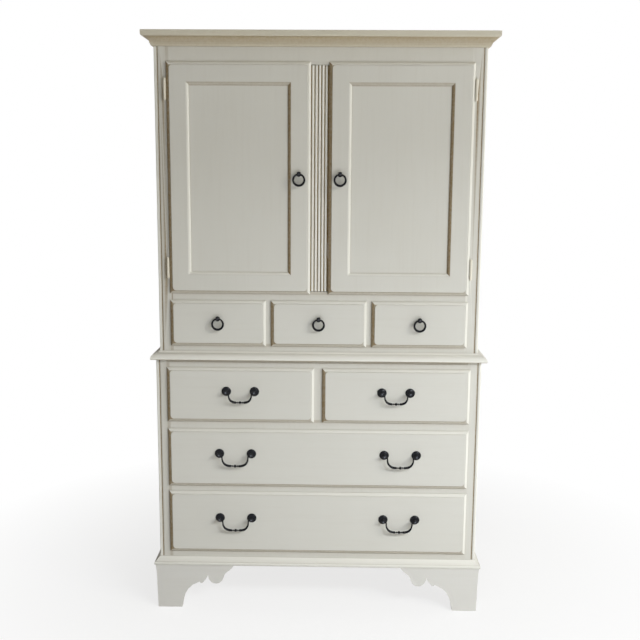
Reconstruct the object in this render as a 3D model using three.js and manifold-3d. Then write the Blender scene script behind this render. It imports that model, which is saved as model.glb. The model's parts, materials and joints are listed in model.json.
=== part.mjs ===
// Television armoire in painted wood: a chest of four rows of drawers carries an upper case
// with two lipped panel doors and a row of three small drawers.
// Lengths are millimetres, +Z is up, the front faces -Y and the back stands at +Y.
import * as THREE from 'three';
import { mergeVertices } from 'three/addons/utils/BufferGeometryUtils.js';
import Module from 'manifold-3d';

const wasm = await Module();
wasm.setup();

// Overall sizes
const lowerWidth = 1084;
const lowerDepth = 584;
const caseStep = 12; // the upper case stands back this far at the front and at each side
const footHeight = 157;
const lowerCaseHeight = 721;
const topBoardThickness = 22;
const upperCaseHeight = 1000;
const corniceRise = 35; // height of the cornice above the upper case

// Boards
const sideThickness = 20;
const frameThickness = 20;
const backThickness = 6;
const backRabbet = 10;
const panelBoardThickness = 18;
const guideHeight = 25;

// Fits
const seatGap = 0.25; // between pieces that move, or that only rest in a recess
const slideClearance = 2; // beside a drawer box
const boxHeadroom = 6;
const tongueClearance = 1.5; // around the part of a front that enters its opening
const overrun = 1; // how far a cutter or a joined piece runs past the face it crosses

// Lipped fronts of doors and drawers
const lipOverlap = 8.5;
const lipThickness = 10;
const lipEdge = 3;
const ovoloWidth = 8;
const ovoloHeight = 5;
const bandWidth = 11;
const fieldCorner = 11;
const tongueDepth = 10;

// Lower case: the gaps around the rows of fronts. What they leave of the height is shared
// between the rows, from the bottom up.
const lowerRowShares = [216.5, 201, 186];
const gapUnderWideRow = 47.5;
const gapUnderMiddleRow = 19;
const gapUnderHalfRow = 25;
const gapAboveHalfRow = 26;
const lowerFrontInset = 36; // from the side of the case to the edge of a front
const gapBetweenHalfFronts = 27;

// Upper case: height of the small fronts, and the gaps around them and the doors
const smallRowHeight = 154;
const gapUnderSmallRow = 23;
const gapUnderDoorRow = 22;
const gapAboveDoorRow = 58;
const upperFrontInset = 38;
const gapBetweenSmallFronts = 16.5;
const gapBetweenDoors = 58;

// Doors
const memberWidth = 64; // face of a stile or rail
const stickingWidth = 8;
const stickingDepth = 6.5;
const stickingQuirk = 1;
const doorPanelThickness = 6;
const panelInGroove = 8;
const panelPlay = 1;
const stripClearance = 1.5;
const reedCount = 5;
const reedMargin = 1.5;
const reedRise = 3;
const fluteWidth = 2.4;

// Hinges
const hingeLength = 64;
const hingeInset = 85; // from an end of the door to the middle of a hinge
const barrelRadius = 4.5;
const pinRadius = 2;
const pinClearance = 0.1;
const pinHead = 3.5;
const pinHeadHeight = 3;
const leafThickness = 1.5;
const frameLeafReturn = 16;
const doorLeafReturn = 9;
const frameKnuckle = 20;
const knuckleGap = 0.3;

// Drawer boxes
const lowerBoxLength = 500;
const upperBoxLength = 480;
const boxSide = 12;
const boxBottom = 6;
const boxSkid = 8; // how far the sides reach below the bottom

// Shelf for players above the television
const playerBayHeight = 144.5;
const shelfSetback = 60;
const shelfRearGap = 30;
const shelfSideGap = 1;
const cleatWidth = 18;
const cleatHeight = 30;

// Hole in the back for leads
const cableHoleWidth = 160;
const cableHoleHeight = 60;
const cableHoleHeightAboveDeck = 90;

// Corner beads run down both front corners of each case
const beadRadius = 4;
const beadWidth = 8;
const quirkWidth = 3;
const quirkDepth = 2.2;

// Cornice, from the face of the upper case outwards
const corniceLap = 12;
const corniceFoot = 3;
const corniceBead = 6;
const corniceBeadHeight = 9;
const corniceCove = 16;
const corniceCoveHeight = 17;
const corniceFillet = 2;
const corniceOvolo = 6;
const corniceOvoloHeight = 7;
const corniceWall = 20;

// Waist moulding, from the face of the upper case outwards
const waistRim = 5.5; // how far the moulding rises around the foot of the upper case
const waistTip = 29;
const waistNose = 3;
const waistNoseHeight = 3;
const waistEdge = 1;
const waistRound = 22;
const waistLedge = 2;

// Base moulding, from the face of the lower case outwards
const baseTip = 18.5;
const baseNose = 4;
const baseNoseHeight = 5;
const baseEdge = 2.5;
const baseShoulder = 2.5;
const baseShoulderHeight = 4.5;
const baseQuirk = 1;
const baseSlopeRise = 16;
const baseSlopeSag = 1.5;

// Bracket feet
const footFlare = 14.5; // how far the top of a foot stands out from the case
const footWaist = 12;
const footWaistDrop = 28;
const footToe = 9; // how far its bottom stands out
const footThickness = 22;
const frontFootLength = 270;
const sideFootLength = 215;
const rearFootTop = 140;
const rearFootBottom = 88;
const footBlock = 40;

// Ring pulls
const ringRadius = 18.6;
const ringTube = 2.4;
const ringStandoff = 13; // from the field to the axis that the ring swings on
const knobRadius = 8.5;
const knobHalfDepth = 7;
const knobNeck = 3.5;
const knobCollar = 6;
const knobCollarHeight = 2;
const pullPlay = 0.3;
const doorRingDrop = 352; // from the top of a door to the axis of its ring
const smallRingRise = 17.5; // from the middle of a small drawer to the axis of its ring

// Bail pulls
const bailTube = 2.2;
const bailStandoff = 17;
const bossRadius = 6;
const bossHalfDepth = 7.75;
const bossNeck = 4.5;
const rosetteRadius = 16;
const rosetteRim = 1.5;
const rosetteCrown = 5;
const bailPinEnd = 1.5;
const bailElbow = 9.3;
const wideBailSpan = 108;
const wideBailDrop = 38.5;
const halfBailSpan = 94;
const halfBailDrop = 34;
const wideBailOffset = 278;
const wideBailRise = 16.5; // from the middle of a front to the axis of its bail
const halfBailRise = 13.5;
const bailBead = 4;
const bailCollar = 3.2;
const bailBeadHalf = 3;
const bailCollarPlace = 6.5;
const bailCollarHalf = 1.6;

// Numbers of flats on round work
const outlineSteps = 5;
const profileSteps = 3;
const roundSides = 12;
const ringSides = 8;
const ringSteps = 20;
const bailSteps = 24;

// Shapes drawn as shares of the piece that they belong to
const footScrollShares = [
  [0.355, 0.33, 0.39, 0.5, 0.556, 0.607],
  [0.565, 0.56, 0.6, 0.56, 0.622, 0.64],
  [0.645, 0.68, 0.655, 0.72, 0.663, 0.77],
  [0.675, 0.63, 0.715, 0.565, 0.771, 0.565],
  [0.83, 0.565, 0.862, 0.66, 0.87, 0.75],
  [0.885, 0.85, 0.955, 0.86, 1, 1],
];
const footAnkleShare = 0.328;
const bailCurveShares = [
  [0.195, 0.15],
  [0.22, 0.4],
  [0.262, 0.62],
  [0.36, 0.84],
  [0.52, 0.95],
  [0.72, 0.99],
  [1, 1],
];

// Planes and levels worked out from the sizes
const frontFieldReach = seatGap + lipThickness;
const bailReach = bailStandoff + bossHalfDepth;
const rear = (lowerDepth + frontFieldReach + bailReach) / 2;
const lowerHalf = lowerWidth / 2;
const upperHalf = lowerHalf - caseStep;
const lowerFace = rear - lowerDepth;
const upperFace = lowerFace + caseStep;
const lowerTop = footHeight + lowerCaseHeight;
const upperBottom = lowerTop + topBoardThickness;
const upperTop = upperBottom + upperCaseHeight;
const insideRear = rear - backThickness;

const finishes = {
  paint: { color: 0xc9c5b8, roughness: 0.55, metalness: 0 },
  inside: { color: 0xa98f6c, roughness: 0.7, metalness: 0 },
  drawerWood: { color: 0xc8ac82, roughness: 0.65, metalness: 0 },
  hingeMetal: { color: 0xb3a88e, roughness: 0.45, metalness: 0.3 },
  iron: { color: 0x24242a, roughness: 0.42, metalness: 0.85 },
};

// Turns an extrusion along its own Z into one along X or Y of the part
const extrusionTurns = {
  x: new THREE.Matrix4().set(0, 0, 1, 0, 1, 0, 0, 0, 0, 1, 0, 0, 0, 0, 0, 1),
  y: new THREE.Matrix4().set(1, 0, 0, 0, 0, 0, -1, 0, 0, 1, 0, 0, 0, 0, 0, 1),
  z: new THREE.Matrix4(),
};

function solidOf(geometry) {
  geometry.deleteAttribute('normal');
  geometry.deleteAttribute('uv');
  const merged = mergeVertices(geometry);
  const corners = merged.index.array;
  const kept = [];
  for (let i = 0; i < corners.length; i += 3) {
    const [a, b, c] = corners.slice(i, i + 3);
    if (a !== b && b !== c && c !== a) {
      kept.push(a, b, c);
    }
  }
  const mesh = new wasm.Mesh({
    numProp: 3,
    vertProperties: new Float32Array(merged.attributes.position.array),
    triVerts: new Uint32Array(kept),
  });
  return new wasm.Manifold(mesh);
}

function piece(name, solid, finish) {
  const { vertProperties, triVerts } = solid.getMesh();
  const geometry = new THREE.BufferGeometry();
  geometry.setAttribute('position', new THREE.BufferAttribute(vertProperties, 3));
  geometry.setIndex(new THREE.BufferAttribute(triVerts, 1));
  geometry.computeVertexNormals();
  const mesh = new THREE.Mesh(geometry, new THREE.MeshStandardMaterial(finishes[finish]));
  mesh.name = name;
  return mesh;
}

function block([x0, x1], [y0, y1], [z0, z1]) {
  const geometry = new THREE.BoxGeometry(1, 1, 1);
  const place = new THREE.Matrix4().makeScale(x1 - x0, y1 - y0, z1 - z0);
  place.setPosition((x0 + x1) / 2, (y0 + y1) / 2, (z0 + z1) / 2);
  return solidOf(geometry.applyMatrix4(place));
}

function shapeOf(points) {
  return new THREE.Shape(points.map(([a, b]) => new THREE.Vector2(a, b)));
}

// Extrudes an outline along an axis. Its points are [y, z], [x, z] or [x, y] for x, y or z.
function prism(outline, axis, [from, to]) {
  const shape = Array.isArray(outline) ? shapeOf(outline) : outline;
  const settings = { depth: 1, bevelEnabled: false, curveSegments: outlineSteps };
  const place = new THREE.Matrix4().makeScale(1, 1, to - from);
  place.setPosition(0, 0, axis === 'y' ? -to : from);
  place.premultiply(extrusionTurns[axis]);
  return solidOf(new THREE.ExtrudeGeometry(shape, settings).applyMatrix4(place));
}

// Turns a profile of [radius, distance] points about an axis that runs towards -Y
function turnedAlongY(profile) {
  const points = profile.map(([radius, distance]) => new THREE.Vector2(radius, distance));
  const geometry = new THREE.LatheGeometry(points, roundSides);
  return solidOf(geometry.rotateX(Math.PI));
}

// Turns a profile of [radius, distance] points about the Z axis
function turnedAlongZ(profile) {
  const points = profile.map(([radius, distance]) => new THREE.Vector2(radius, distance));
  const geometry = new THREE.LatheGeometry(points, roundSides);
  return solidOf(geometry.rotateX(Math.PI / 2));
}

// Turns a profile of [radius, distance] points about the X axis
function turnedAlongX(profile) {
  const points = profile.map(([radius, distance]) => new THREE.Vector2(radius, distance));
  const geometry = new THREE.LatheGeometry(points, roundSides);
  return solidOf(geometry.rotateZ(-Math.PI / 2));
}

function rodAlongX(radius, [from, to]) {
  return turnedAlongX([[0, from], [radius, from], [radius, to], [0, to]]);
}

// Points of a quarter ellipse that runs from the end of one radius to the end of the other
function quarter([centreA, centreB], [startA, startB], [endA, endB], steps = profileSteps) {
  const points = [];
  for (let i = 0; i <= steps; i += 1) {
    const turn = (i / steps) * (Math.PI / 2);
    const c = Math.cos(turn);
    const s = Math.sin(turn);
    points.push([centreA + startA * c + endA * s, centreB + startB * c + endB * s]);
  }
  return points;
}

function mirrored(points) {
  return points.map(([a, b]) => [-a, b]).reverse();
}

function span(a, b) {
  return [Math.min(a, b), Math.max(a, b)];
}

function grown([from, to], by) {
  return [from - by, to + by];
}

function middle([from, to]) {
  return (from + to) / 2;
}

// A board moulded along its front and both ends. The profile lists [out, height] points
// from bottom to top, measured from the face and the sides of the case.
function mouldedBoard(profile, half, face) {
  const bottom = profile[0][1];
  const top = profile[profile.length - 1][1];
  const reach = Math.max(...profile.map(([out]) => out)) + overrun;
  const section = profile.map(([out, height]) => [face - out, height]);
  const ends = profile.map(([out, height]) => [half + out, height]);
  const lengthwise = prism([...section, [rear, top], [rear, bottom]], 'x', grown([-half, half], reach));
  const crosswise = prism([...ends, ...mirrored(ends)], 'y', [face - reach, rear]);
  return lengthwise.intersect(crosswise);
}

// A panel moulded along its four edges. The profile lists [inset, depth] points from back to
// front, the inset from the edge of the panel and the depth out from the given plane.
function mouldedPanel(profile, xSpan, zSpan, plane) {
  const low = profile.map(([inset, depth]) => [plane - depth, zSpan[0] + inset]);
  const high = profile.map(([inset, depth]) => [plane - depth, zSpan[1] - inset]);
  const left = profile.map(([inset, depth]) => [xSpan[0] + inset, plane - depth]);
  const right = profile.map(([inset, depth]) => [xSpan[1] - inset, plane - depth]);
  const upright = prism([...low, ...high.reverse()], 'x', xSpan);
  const lying = prism([...left, ...right.reverse()], 'z', zSpan);
  return upright.intersect(lying);
}

function roundedRectangle([x0, x1], [z0, z1], radius) {
  const shape = new THREE.Shape();
  shape.moveTo(x0 + radius, z0);
  shape.lineTo(x1 - radius, z0);
  shape.absarc(x1 - radius, z0 + radius, radius, -Math.PI / 2, 0, false);
  shape.lineTo(x1, z1 - radius);
  shape.absarc(x1 - radius, z1 - radius, radius, 0, Math.PI / 2, false);
  shape.lineTo(x0 + radius, z1);
  shape.absarc(x0 + radius, z1 - radius, radius, Math.PI / 2, Math.PI, false);
  shape.lineTo(x0, z0 + radius);
  shape.absarc(x0 + radius, z0 + radius, radius, Math.PI, Math.PI * 1.5, false);
  return shape;
}

// The front of a door or drawer: a lip that covers the edge of its opening, moulded on all
// four edges and with a raised field. Depths run out from the face of the case at plane.
function lippedFront(xSpan, zSpan, plane) {
  const ovoloTop = seatGap + lipEdge + ovoloHeight;
  const profile = [
    [0, seatGap],
    ...quarter([ovoloWidth, seatGap + lipEdge], [-ovoloWidth, 0], [0, ovoloHeight]),
  ];
  const field = roundedRectangle(grown(xSpan, -bandWidth), grown(zSpan, -bandWidth), fieldCorner);
  const fieldDepth = [plane - frontFieldReach, plane - ovoloTop + overrun];
  return mouldedPanel(profile, xSpan, zSpan, plane).add(prism(field, 'y', fieldDepth));
}

// A face frame with a bead down each outer corner, set off by a quirk on either side
function faceFrame(half, face, zSpan, openings) {
  const corner = [-half + beadRadius, face + beadRadius];
  const leftCorner = [
    [-half, face + frameThickness],
    [-half, face + beadWidth + quirkWidth],
    [-half + quirkDepth, face + beadWidth + quirkWidth / 2],
    [-half, face + beadWidth],
    ...quarter(corner, [-beadRadius, 0], [0, -beadRadius]),
    [-half + beadWidth, face],
    [-half + beadWidth + quirkWidth / 2, face + quirkDepth],
    [-half + beadWidth + quirkWidth, face],
  ];
  const depth = grown([face, face + frameThickness], overrun);
  let frame = prism([...leftCorner, ...mirrored(leftCorner)], 'z', zSpan);
  for (const opening of openings) {
    frame = frame.subtract(block(opening.xSpan, depth, opening.zSpan));
  }
  return frame;
}

// A side board, rabbeted along its back edge for the back panel
function sideBoard(hand, half, face, zSpan) {
  const outline = [
    [half, face + frameThickness],
    [half, rear],
    [half - sideThickness + backRabbet, rear],
    [half - sideThickness + backRabbet, insideRear],
    [half - sideThickness, insideRear],
    [half - sideThickness, face + frameThickness],
  ];
  return prism(outline.map(([x, y]) => [hand * x, y]), 'z', zSpan);
}

function openingOf({ xSpan, zSpan }) {
  return { xSpan: grown(xSpan, -lipOverlap), zSpan: grown(zSpan, -lipOverlap) };
}

// Fronts of the lower case, from the bottom row up
const allRowShares = lowerRowShares.reduce((sum, share) => sum + share);
const heightOfRows = lowerCaseHeight - gapUnderWideRow - gapUnderMiddleRow - gapUnderHalfRow - gapAboveHalfRow;
const [wideRowHeight, middleRowHeight] = lowerRowShares.map((share) => heightOfRows * share / allRowShares);
const wideRow = span(footHeight + gapUnderWideRow, footHeight + gapUnderWideRow + wideRowHeight);
const middleRow = span(wideRow[1] + gapUnderMiddleRow, wideRow[1] + gapUnderMiddleRow + middleRowHeight);
const halfRow = span(middleRow[1] + gapUnderHalfRow, lowerTop - gapAboveHalfRow);
const lowerFrontHalf = lowerHalf - lowerFrontInset;
const fullWidth = [-lowerFrontHalf, lowerFrontHalf];
const halfFront = [gapBetweenHalfFronts / 2, lowerFrontHalf];

// Fronts of the upper case
const smallRow = span(upperBottom + gapUnderSmallRow, upperBottom + gapUnderSmallRow + smallRowHeight);
const doorRow = span(smallRow[1] + gapUnderDoorRow, upperTop - gapAboveDoorRow);
const upperFrontHalf = upperHalf - upperFrontInset;
const smallFrontWidth = (2 * upperFrontHalf - 2 * gapBetweenSmallFronts) / 3;
const doorOpening = openingOf({ xSpan: [-upperFrontHalf, upperFrontHalf], zSpan: doorRow });

const wideBails = [-wideBailOffset, wideBailOffset];
const bailOnWide = { span: wideBailSpan, drop: wideBailDrop, rise: wideBailRise };
const bailOnHalf = { span: halfBailSpan, drop: halfBailDrop, rise: halfBailRise };
const lowerDrawers = [
  { name: 'bottom', xSpan: fullWidth, zSpan: wideRow, pulls: wideBails, bail: bailOnWide },
  { name: 'middle', xSpan: fullWidth, zSpan: middleRow, pulls: wideBails, bail: bailOnWide },
  { name: 'left_half', xSpan: span(-halfFront[0], -halfFront[1]), zSpan: halfRow, pulls: [0], bail: bailOnHalf },
  { name: 'right_half', xSpan: halfFront, zSpan: halfRow, pulls: [0], bail: bailOnHalf },
];
const smallDrawers = [
  { name: 'small_left', xSpan: [-upperFrontHalf, -upperFrontHalf + smallFrontWidth], zSpan: smallRow },
  { name: 'small_centre', xSpan: [-smallFrontWidth / 2, smallFrontWidth / 2], zSpan: smallRow },
  { name: 'small_right', xSpan: [upperFrontHalf - smallFrontWidth, upperFrontHalf], zSpan: smallRow },
];

// A board inside the lower case, level with the lower edge of an opening, so that drawers run
// on it between guides. A web board is open in the middle.
function runnerBoard(half, face, opening, web) {
  const inner = half - sideThickness;
  const ySpan = [face + frameThickness, insideRear];
  const level = opening.zSpan[0];
  let board = block([-inner, inner], ySpan, [level - panelBoardThickness, level]);
  if (web) {
    const member = inner - opening.xSpan[1] + memberWidth;
    const through = grown([level - panelBoardThickness, level], overrun);
    board = board.subtract(block(grown([-inner, inner], -member), grown(ySpan, -member), through));
  }
  for (const hand of [-1, 1]) {
    const guide = span(hand * opening.xSpan[1], hand * inner);
    board = board.add(block(guide, ySpan, [level - overrun, level + guideHeight]));
  }
  return board;
}

// A wall between two drawers, with a guide along its foot as wide as the stile before it
function partition(centre, stileWidth, face, [level, ceiling]) {
  const ySpan = [face + frameThickness, insideRear];
  const wall = grown([centre, centre], panelBoardThickness / 2);
  const guide = grown([centre, centre], stileWidth / 2);
  return block(wall, ySpan, [level - overrun, ceiling])
    .add(block(guide, ySpan, [level - overrun, level + guideHeight]));
}

function bracketOutline(length) {
  const shape = new THREE.Shape();
  shape.moveTo(0, footHeight);
  shape.lineTo(0, 0);
  shape.lineTo(length * footAnkleShare, 0);
  for (const shares of footScrollShares) {
    const [a, b, c, d, e, f] = shares.map((share, i) => share * (i % 2 ? footHeight : length));
    shape.bezierCurveTo(a, b, c, d, e, f);
  }
  return shape;
}

function rearOutline() {
  return shapeOf([
    [0, footHeight],
    [0, 0],
    [rearFootBottom, 0],
    [rearFootTop, footHeight],
  ]);
}

// A bracket foot under one corner of the case: a front or rear board, a side board and a glue
// block in their angle. The outer faces lean in towards the floor.
function bracketFoot(xHand, yHand, frontOutline, sideOutline) {
  const xOuter = lowerHalf + footFlare;
  const yOuter = yHand < 0 ? lowerFace - footFlare : rear;
  const sideEnd = yHand < 0 ? yOuter : rear;
  const inward = -yHand;
  const lean = [
    [footFlare, footHeight],
    [footWaist, footHeight - footWaistDrop],
    [footToe, 0],
  ];
  const innerX = xOuter - footFlare + footWaist - footThickness;
  const frontPlane = yHand < 0 ? lowerFace : rear;
  const innerY = frontPlane + inward * (footThickness - (yHand < 0 ? footWaist : 0));
  const pointsOf = (outline) => outline.extractPoints(outlineSteps).shape;
  const across = pointsOf(frontOutline).map(({ x, y }) => [xHand * (xOuter - x), y]);
  const along = pointsOf(sideOutline).map(({ x, y }) => [sideEnd + inward * x, y]);
  const frontPiece = prism(across, 'y', span(yOuter, innerY));
  const sidePiece = prism(along, 'x', span(xHand * xOuter, xHand * innerX));
  const blockX = span(xHand * innerX, xHand * (innerX - footBlock));
  const blockY = span(innerY, innerY + inward * footBlock);
  const glueBlock = block(grown(blockX, overrun), grown(blockY, overrun), [0, footHeight]);
  const sideLean = lean.map(([out, height]) => [xHand * (lowerHalf + out), height]);
  const sideEnvelope = prism([...sideLean, [0, 0], [0, footHeight]], 'y', grown(span(yOuter, 0), overrun));
  let foot = frontPiece.add(sidePiece).add(glueBlock).intersect(sideEnvelope);
  if (yHand < 0) {
    const frontLean = lean.map(([out, height]) => [lowerFace - out, height]);
    const frontEnvelope = prism([...frontLean, [rear, 0], [rear, footHeight]], 'x', grown([-xOuter, xOuter], overrun));
    foot = foot.intersect(frontEnvelope);
  }
  return foot;
}

// Profiles of the three mouldings, as [out, height] points from bottom to top
const corniceBottom = upperTop - corniceLap;
const corniceTop = upperTop + corniceRise;
const corniceProfile = [[corniceFoot, corniceBottom]];
corniceProfile.push(...quarter(
  [corniceFoot, corniceBottom + corniceBeadHeight],
  [0, -corniceBeadHeight],
  [corniceBead, 0],
).slice(1));
const coveFoot = [corniceFoot + corniceBead + corniceFillet, corniceBottom + corniceBeadHeight + corniceFillet];
corniceProfile.push([coveFoot[0], corniceBottom + corniceBeadHeight]);
corniceProfile.push(...quarter([coveFoot[0] + corniceCove, coveFoot[1]], [-corniceCove, 0], [0, corniceCoveHeight]));
const ovoloFoot = [coveFoot[0] + corniceCove + corniceFillet, coveFoot[1] + corniceCoveHeight];
corniceProfile.push(...quarter(
  [ovoloFoot[0], ovoloFoot[1] + corniceOvoloHeight],
  [0, -corniceOvoloHeight],
  [corniceOvolo, 0],
));
corniceProfile.push([ovoloFoot[0] + corniceOvolo, corniceTop]);

const rimTop = upperBottom + waistRim;
const waistShoulder = lowerTop + waistNoseHeight + waistEdge;
const waistProfile = [
  ...quarter([waistTip - waistNose, lowerTop + waistNoseHeight], [0, -waistNoseHeight], [waistNose, 0]),
  ...quarter(
    [waistTip - waistRound, waistShoulder],
    [waistRound, 0],
    [0, upperBottom - waistShoulder],
    outlineSteps,
  ),
  [waistLedge, rimTop],
];

const shoulderTop = footHeight + baseNoseHeight + baseEdge + baseShoulderHeight;
const baseProfile = [
  ...quarter([baseTip - baseNose, footHeight + baseNoseHeight], [0, -baseNoseHeight], [baseNose, 0]),
  ...quarter(
    [baseTip - baseShoulder, footHeight + baseNoseHeight + baseEdge],
    [baseShoulder, 0],
    [0, baseShoulderHeight],
  ),
];
for (let i = 0; i <= profileSteps; i += 1) {
  const climb = i / profileSteps;
  const out = (baseTip - baseShoulder - baseQuirk) * (1 - climb);
  const sag = baseSlopeSag * 4 * climb * (1 - climb);
  baseProfile.push([out, shoulderTop + baseSlopeRise * climb - sag]);
}

// The lower case
function makeLowerCase() {
  const group = new THREE.Group();
  const zSpan = [footHeight, lowerTop];
  const openings = lowerDrawers.map(openingOf);
  const [wideOpening, middleOpening, , halfOpening] = openings;
  for (const [name, hand] of [['lower_left_side', -1], ['lower_right_side', 1]]) {
    group.add(piece(name, sideBoard(hand, lowerHalf, lowerFace, zSpan), 'paint'));
  }
  group.add(piece('lower_face_frame', faceFrame(lowerHalf, lowerFace, zSpan, openings), 'paint'));
  const backHalf = lowerHalf - sideThickness + backRabbet;
  group.add(piece('lower_back_panel', block([-backHalf, backHalf], [insideRear, rear], zSpan), 'inside'));
  group.add(piece('lower_bottom_panel', runnerBoard(lowerHalf, lowerFace, wideOpening, false), 'inside'));
  group.add(piece('lower_web_frame', runnerBoard(lowerHalf, lowerFace, middleOpening, true), 'inside'));
  const centreStile = halfOpening.xSpan[0] * 2;
  const level = halfOpening.zSpan[0];
  const centreRunner = block(
    grown([0, 0], centreStile / 2 + memberWidth / 2),
    [lowerFace + frameThickness, insideRear],
    [level - panelBoardThickness, level],
  );
  const upperWeb = runnerBoard(lowerHalf, lowerFace, halfOpening, true)
    .add(centreRunner)
    .add(partition(0, centreStile, lowerFace, [level, lowerTop]));
  group.add(piece('upper_web_frame', upperWeb, 'inside'));

  const pocket = block(
    grown([-upperHalf, upperHalf], seatGap),
    [upperFace - seatGap, rear + overrun],
    [upperBottom, rimTop + overrun],
  );
  group.add(piece('waist_top', mouldedBoard(waistProfile, upperHalf, upperFace).subtract(pocket), 'paint'));

  const insideOfBase = block(
    [-lowerHalf, lowerHalf],
    [lowerFace, rear + overrun],
    grown([footHeight, shoulderTop + baseSlopeRise], overrun),
  );
  group.add(piece('base_moulding', mouldedBoard(baseProfile, lowerHalf, lowerFace).subtract(insideOfBase), 'paint'));

  const frontBracket = bracketOutline(frontFootLength);
  const sideBracket = bracketOutline(sideFootLength);
  for (const [name, hand] of [['left', -1], ['right', 1]]) {
    group.add(piece(`front_${name}_foot`, bracketFoot(hand, -1, frontBracket, sideBracket), 'paint'));
    group.add(piece(`rear_${name}_foot`, bracketFoot(hand, 1, rearOutline(), sideBracket), 'paint'));
  }
  return group;
}

// Hinges: the barrel stands in front of the face of the case, just outside the edge of a door
const barrelPlace = barrelRadius + seatGap;
const barrelX = upperFrontHalf + barrelPlace;
const barrelY = upperFace - barrelPlace;
const hingeHeights = [doorRow[1] - hingeInset, doorRow[0] + hingeInset];
const toOpeningEdge = barrelX - doorOpening.xSpan[1];
const toTongueEdge = toOpeningEdge + tongueClearance;

function knuckle([from, to]) {
  return turnedAlongZ([
    [pinRadius + pinClearance, from],
    [barrelRadius, from],
    [barrelRadius, to],
    [pinRadius + pinClearance, to],
    [pinRadius + pinClearance, from],
  ]);
}

// Leaf let into the face frame, with the pin and the two outer knuckles. Its frame has the
// barrel along Z at the origin and the door towards +X times hand.
function frameLeaf(hand) {
  const half = hingeLength / 2;
  const plate = block(
    span(-hand * barrelRadius, hand * toOpeningEdge),
    [barrelPlace, barrelPlace + leafThickness],
    [-half, half],
  );
  const turnIn = block(
    span(hand * toOpeningEdge, hand * (toOpeningEdge - leafThickness)),
    [barrelPlace, barrelPlace + frameLeafReturn],
    [-half, half],
  );
  let leaf = plate.add(turnIn);
  for (const end of [-1, 1]) {
    const zSpan = span(end * half, end * (half - frameKnuckle));
    const outside = turnedAlongZ([
      [0, zSpan[0]],
      [barrelRadius, zSpan[0]],
      [barrelRadius, zSpan[1]],
      [0, zSpan[1]],
    ]);
    const web = block(
      span(-hand * barrelRadius, -hand * (barrelRadius - leafThickness)),
      [0, barrelPlace + overrun],
      zSpan,
    );
    leaf = leaf.add(outside).add(web);
  }
  const pin = turnedAlongZ([
    [0, -half - pinHeadHeight],
    [pinHead / 2, -half - pinHeadHeight],
    [pinHead, -half - pinHeadHeight / 2],
    [pinHead, -half + overrun],
    [pinRadius, -half + overrun],
    [pinRadius, half - overrun],
    [pinHead, half - overrun],
    [pinHead, half + pinHeadHeight / 2],
    [pinHead / 2, half + pinHeadHeight],
    [0, half + pinHeadHeight],
  ]);
  return leaf.add(pin);
}

// Leaf let into the back of the lip and the edge of the door, with the middle knuckle
function doorLeaf(hand) {
  const half = hingeLength / 2;
  const knuckleHalf = half - frameKnuckle - knuckleGap;
  const ySpan = [barrelPlace - seatGap - leafThickness, barrelPlace - seatGap];
  const plate = block(span(hand * (barrelPlace + seatGap), hand * toTongueEdge), ySpan, [-half, half]);
  const root = block(span(0, hand * toTongueEdge), ySpan, [-knuckleHalf, knuckleHalf]);
  const turnIn = block(
    span(hand * toTongueEdge, hand * (toTongueEdge + leafThickness)),
    [ySpan[0], ySpan[1] + doorLeafReturn],
    [-half, half],
  );
  return plate.add(root).add(turnIn).add(knuckle([-knuckleHalf, knuckleHalf]));
}

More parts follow.
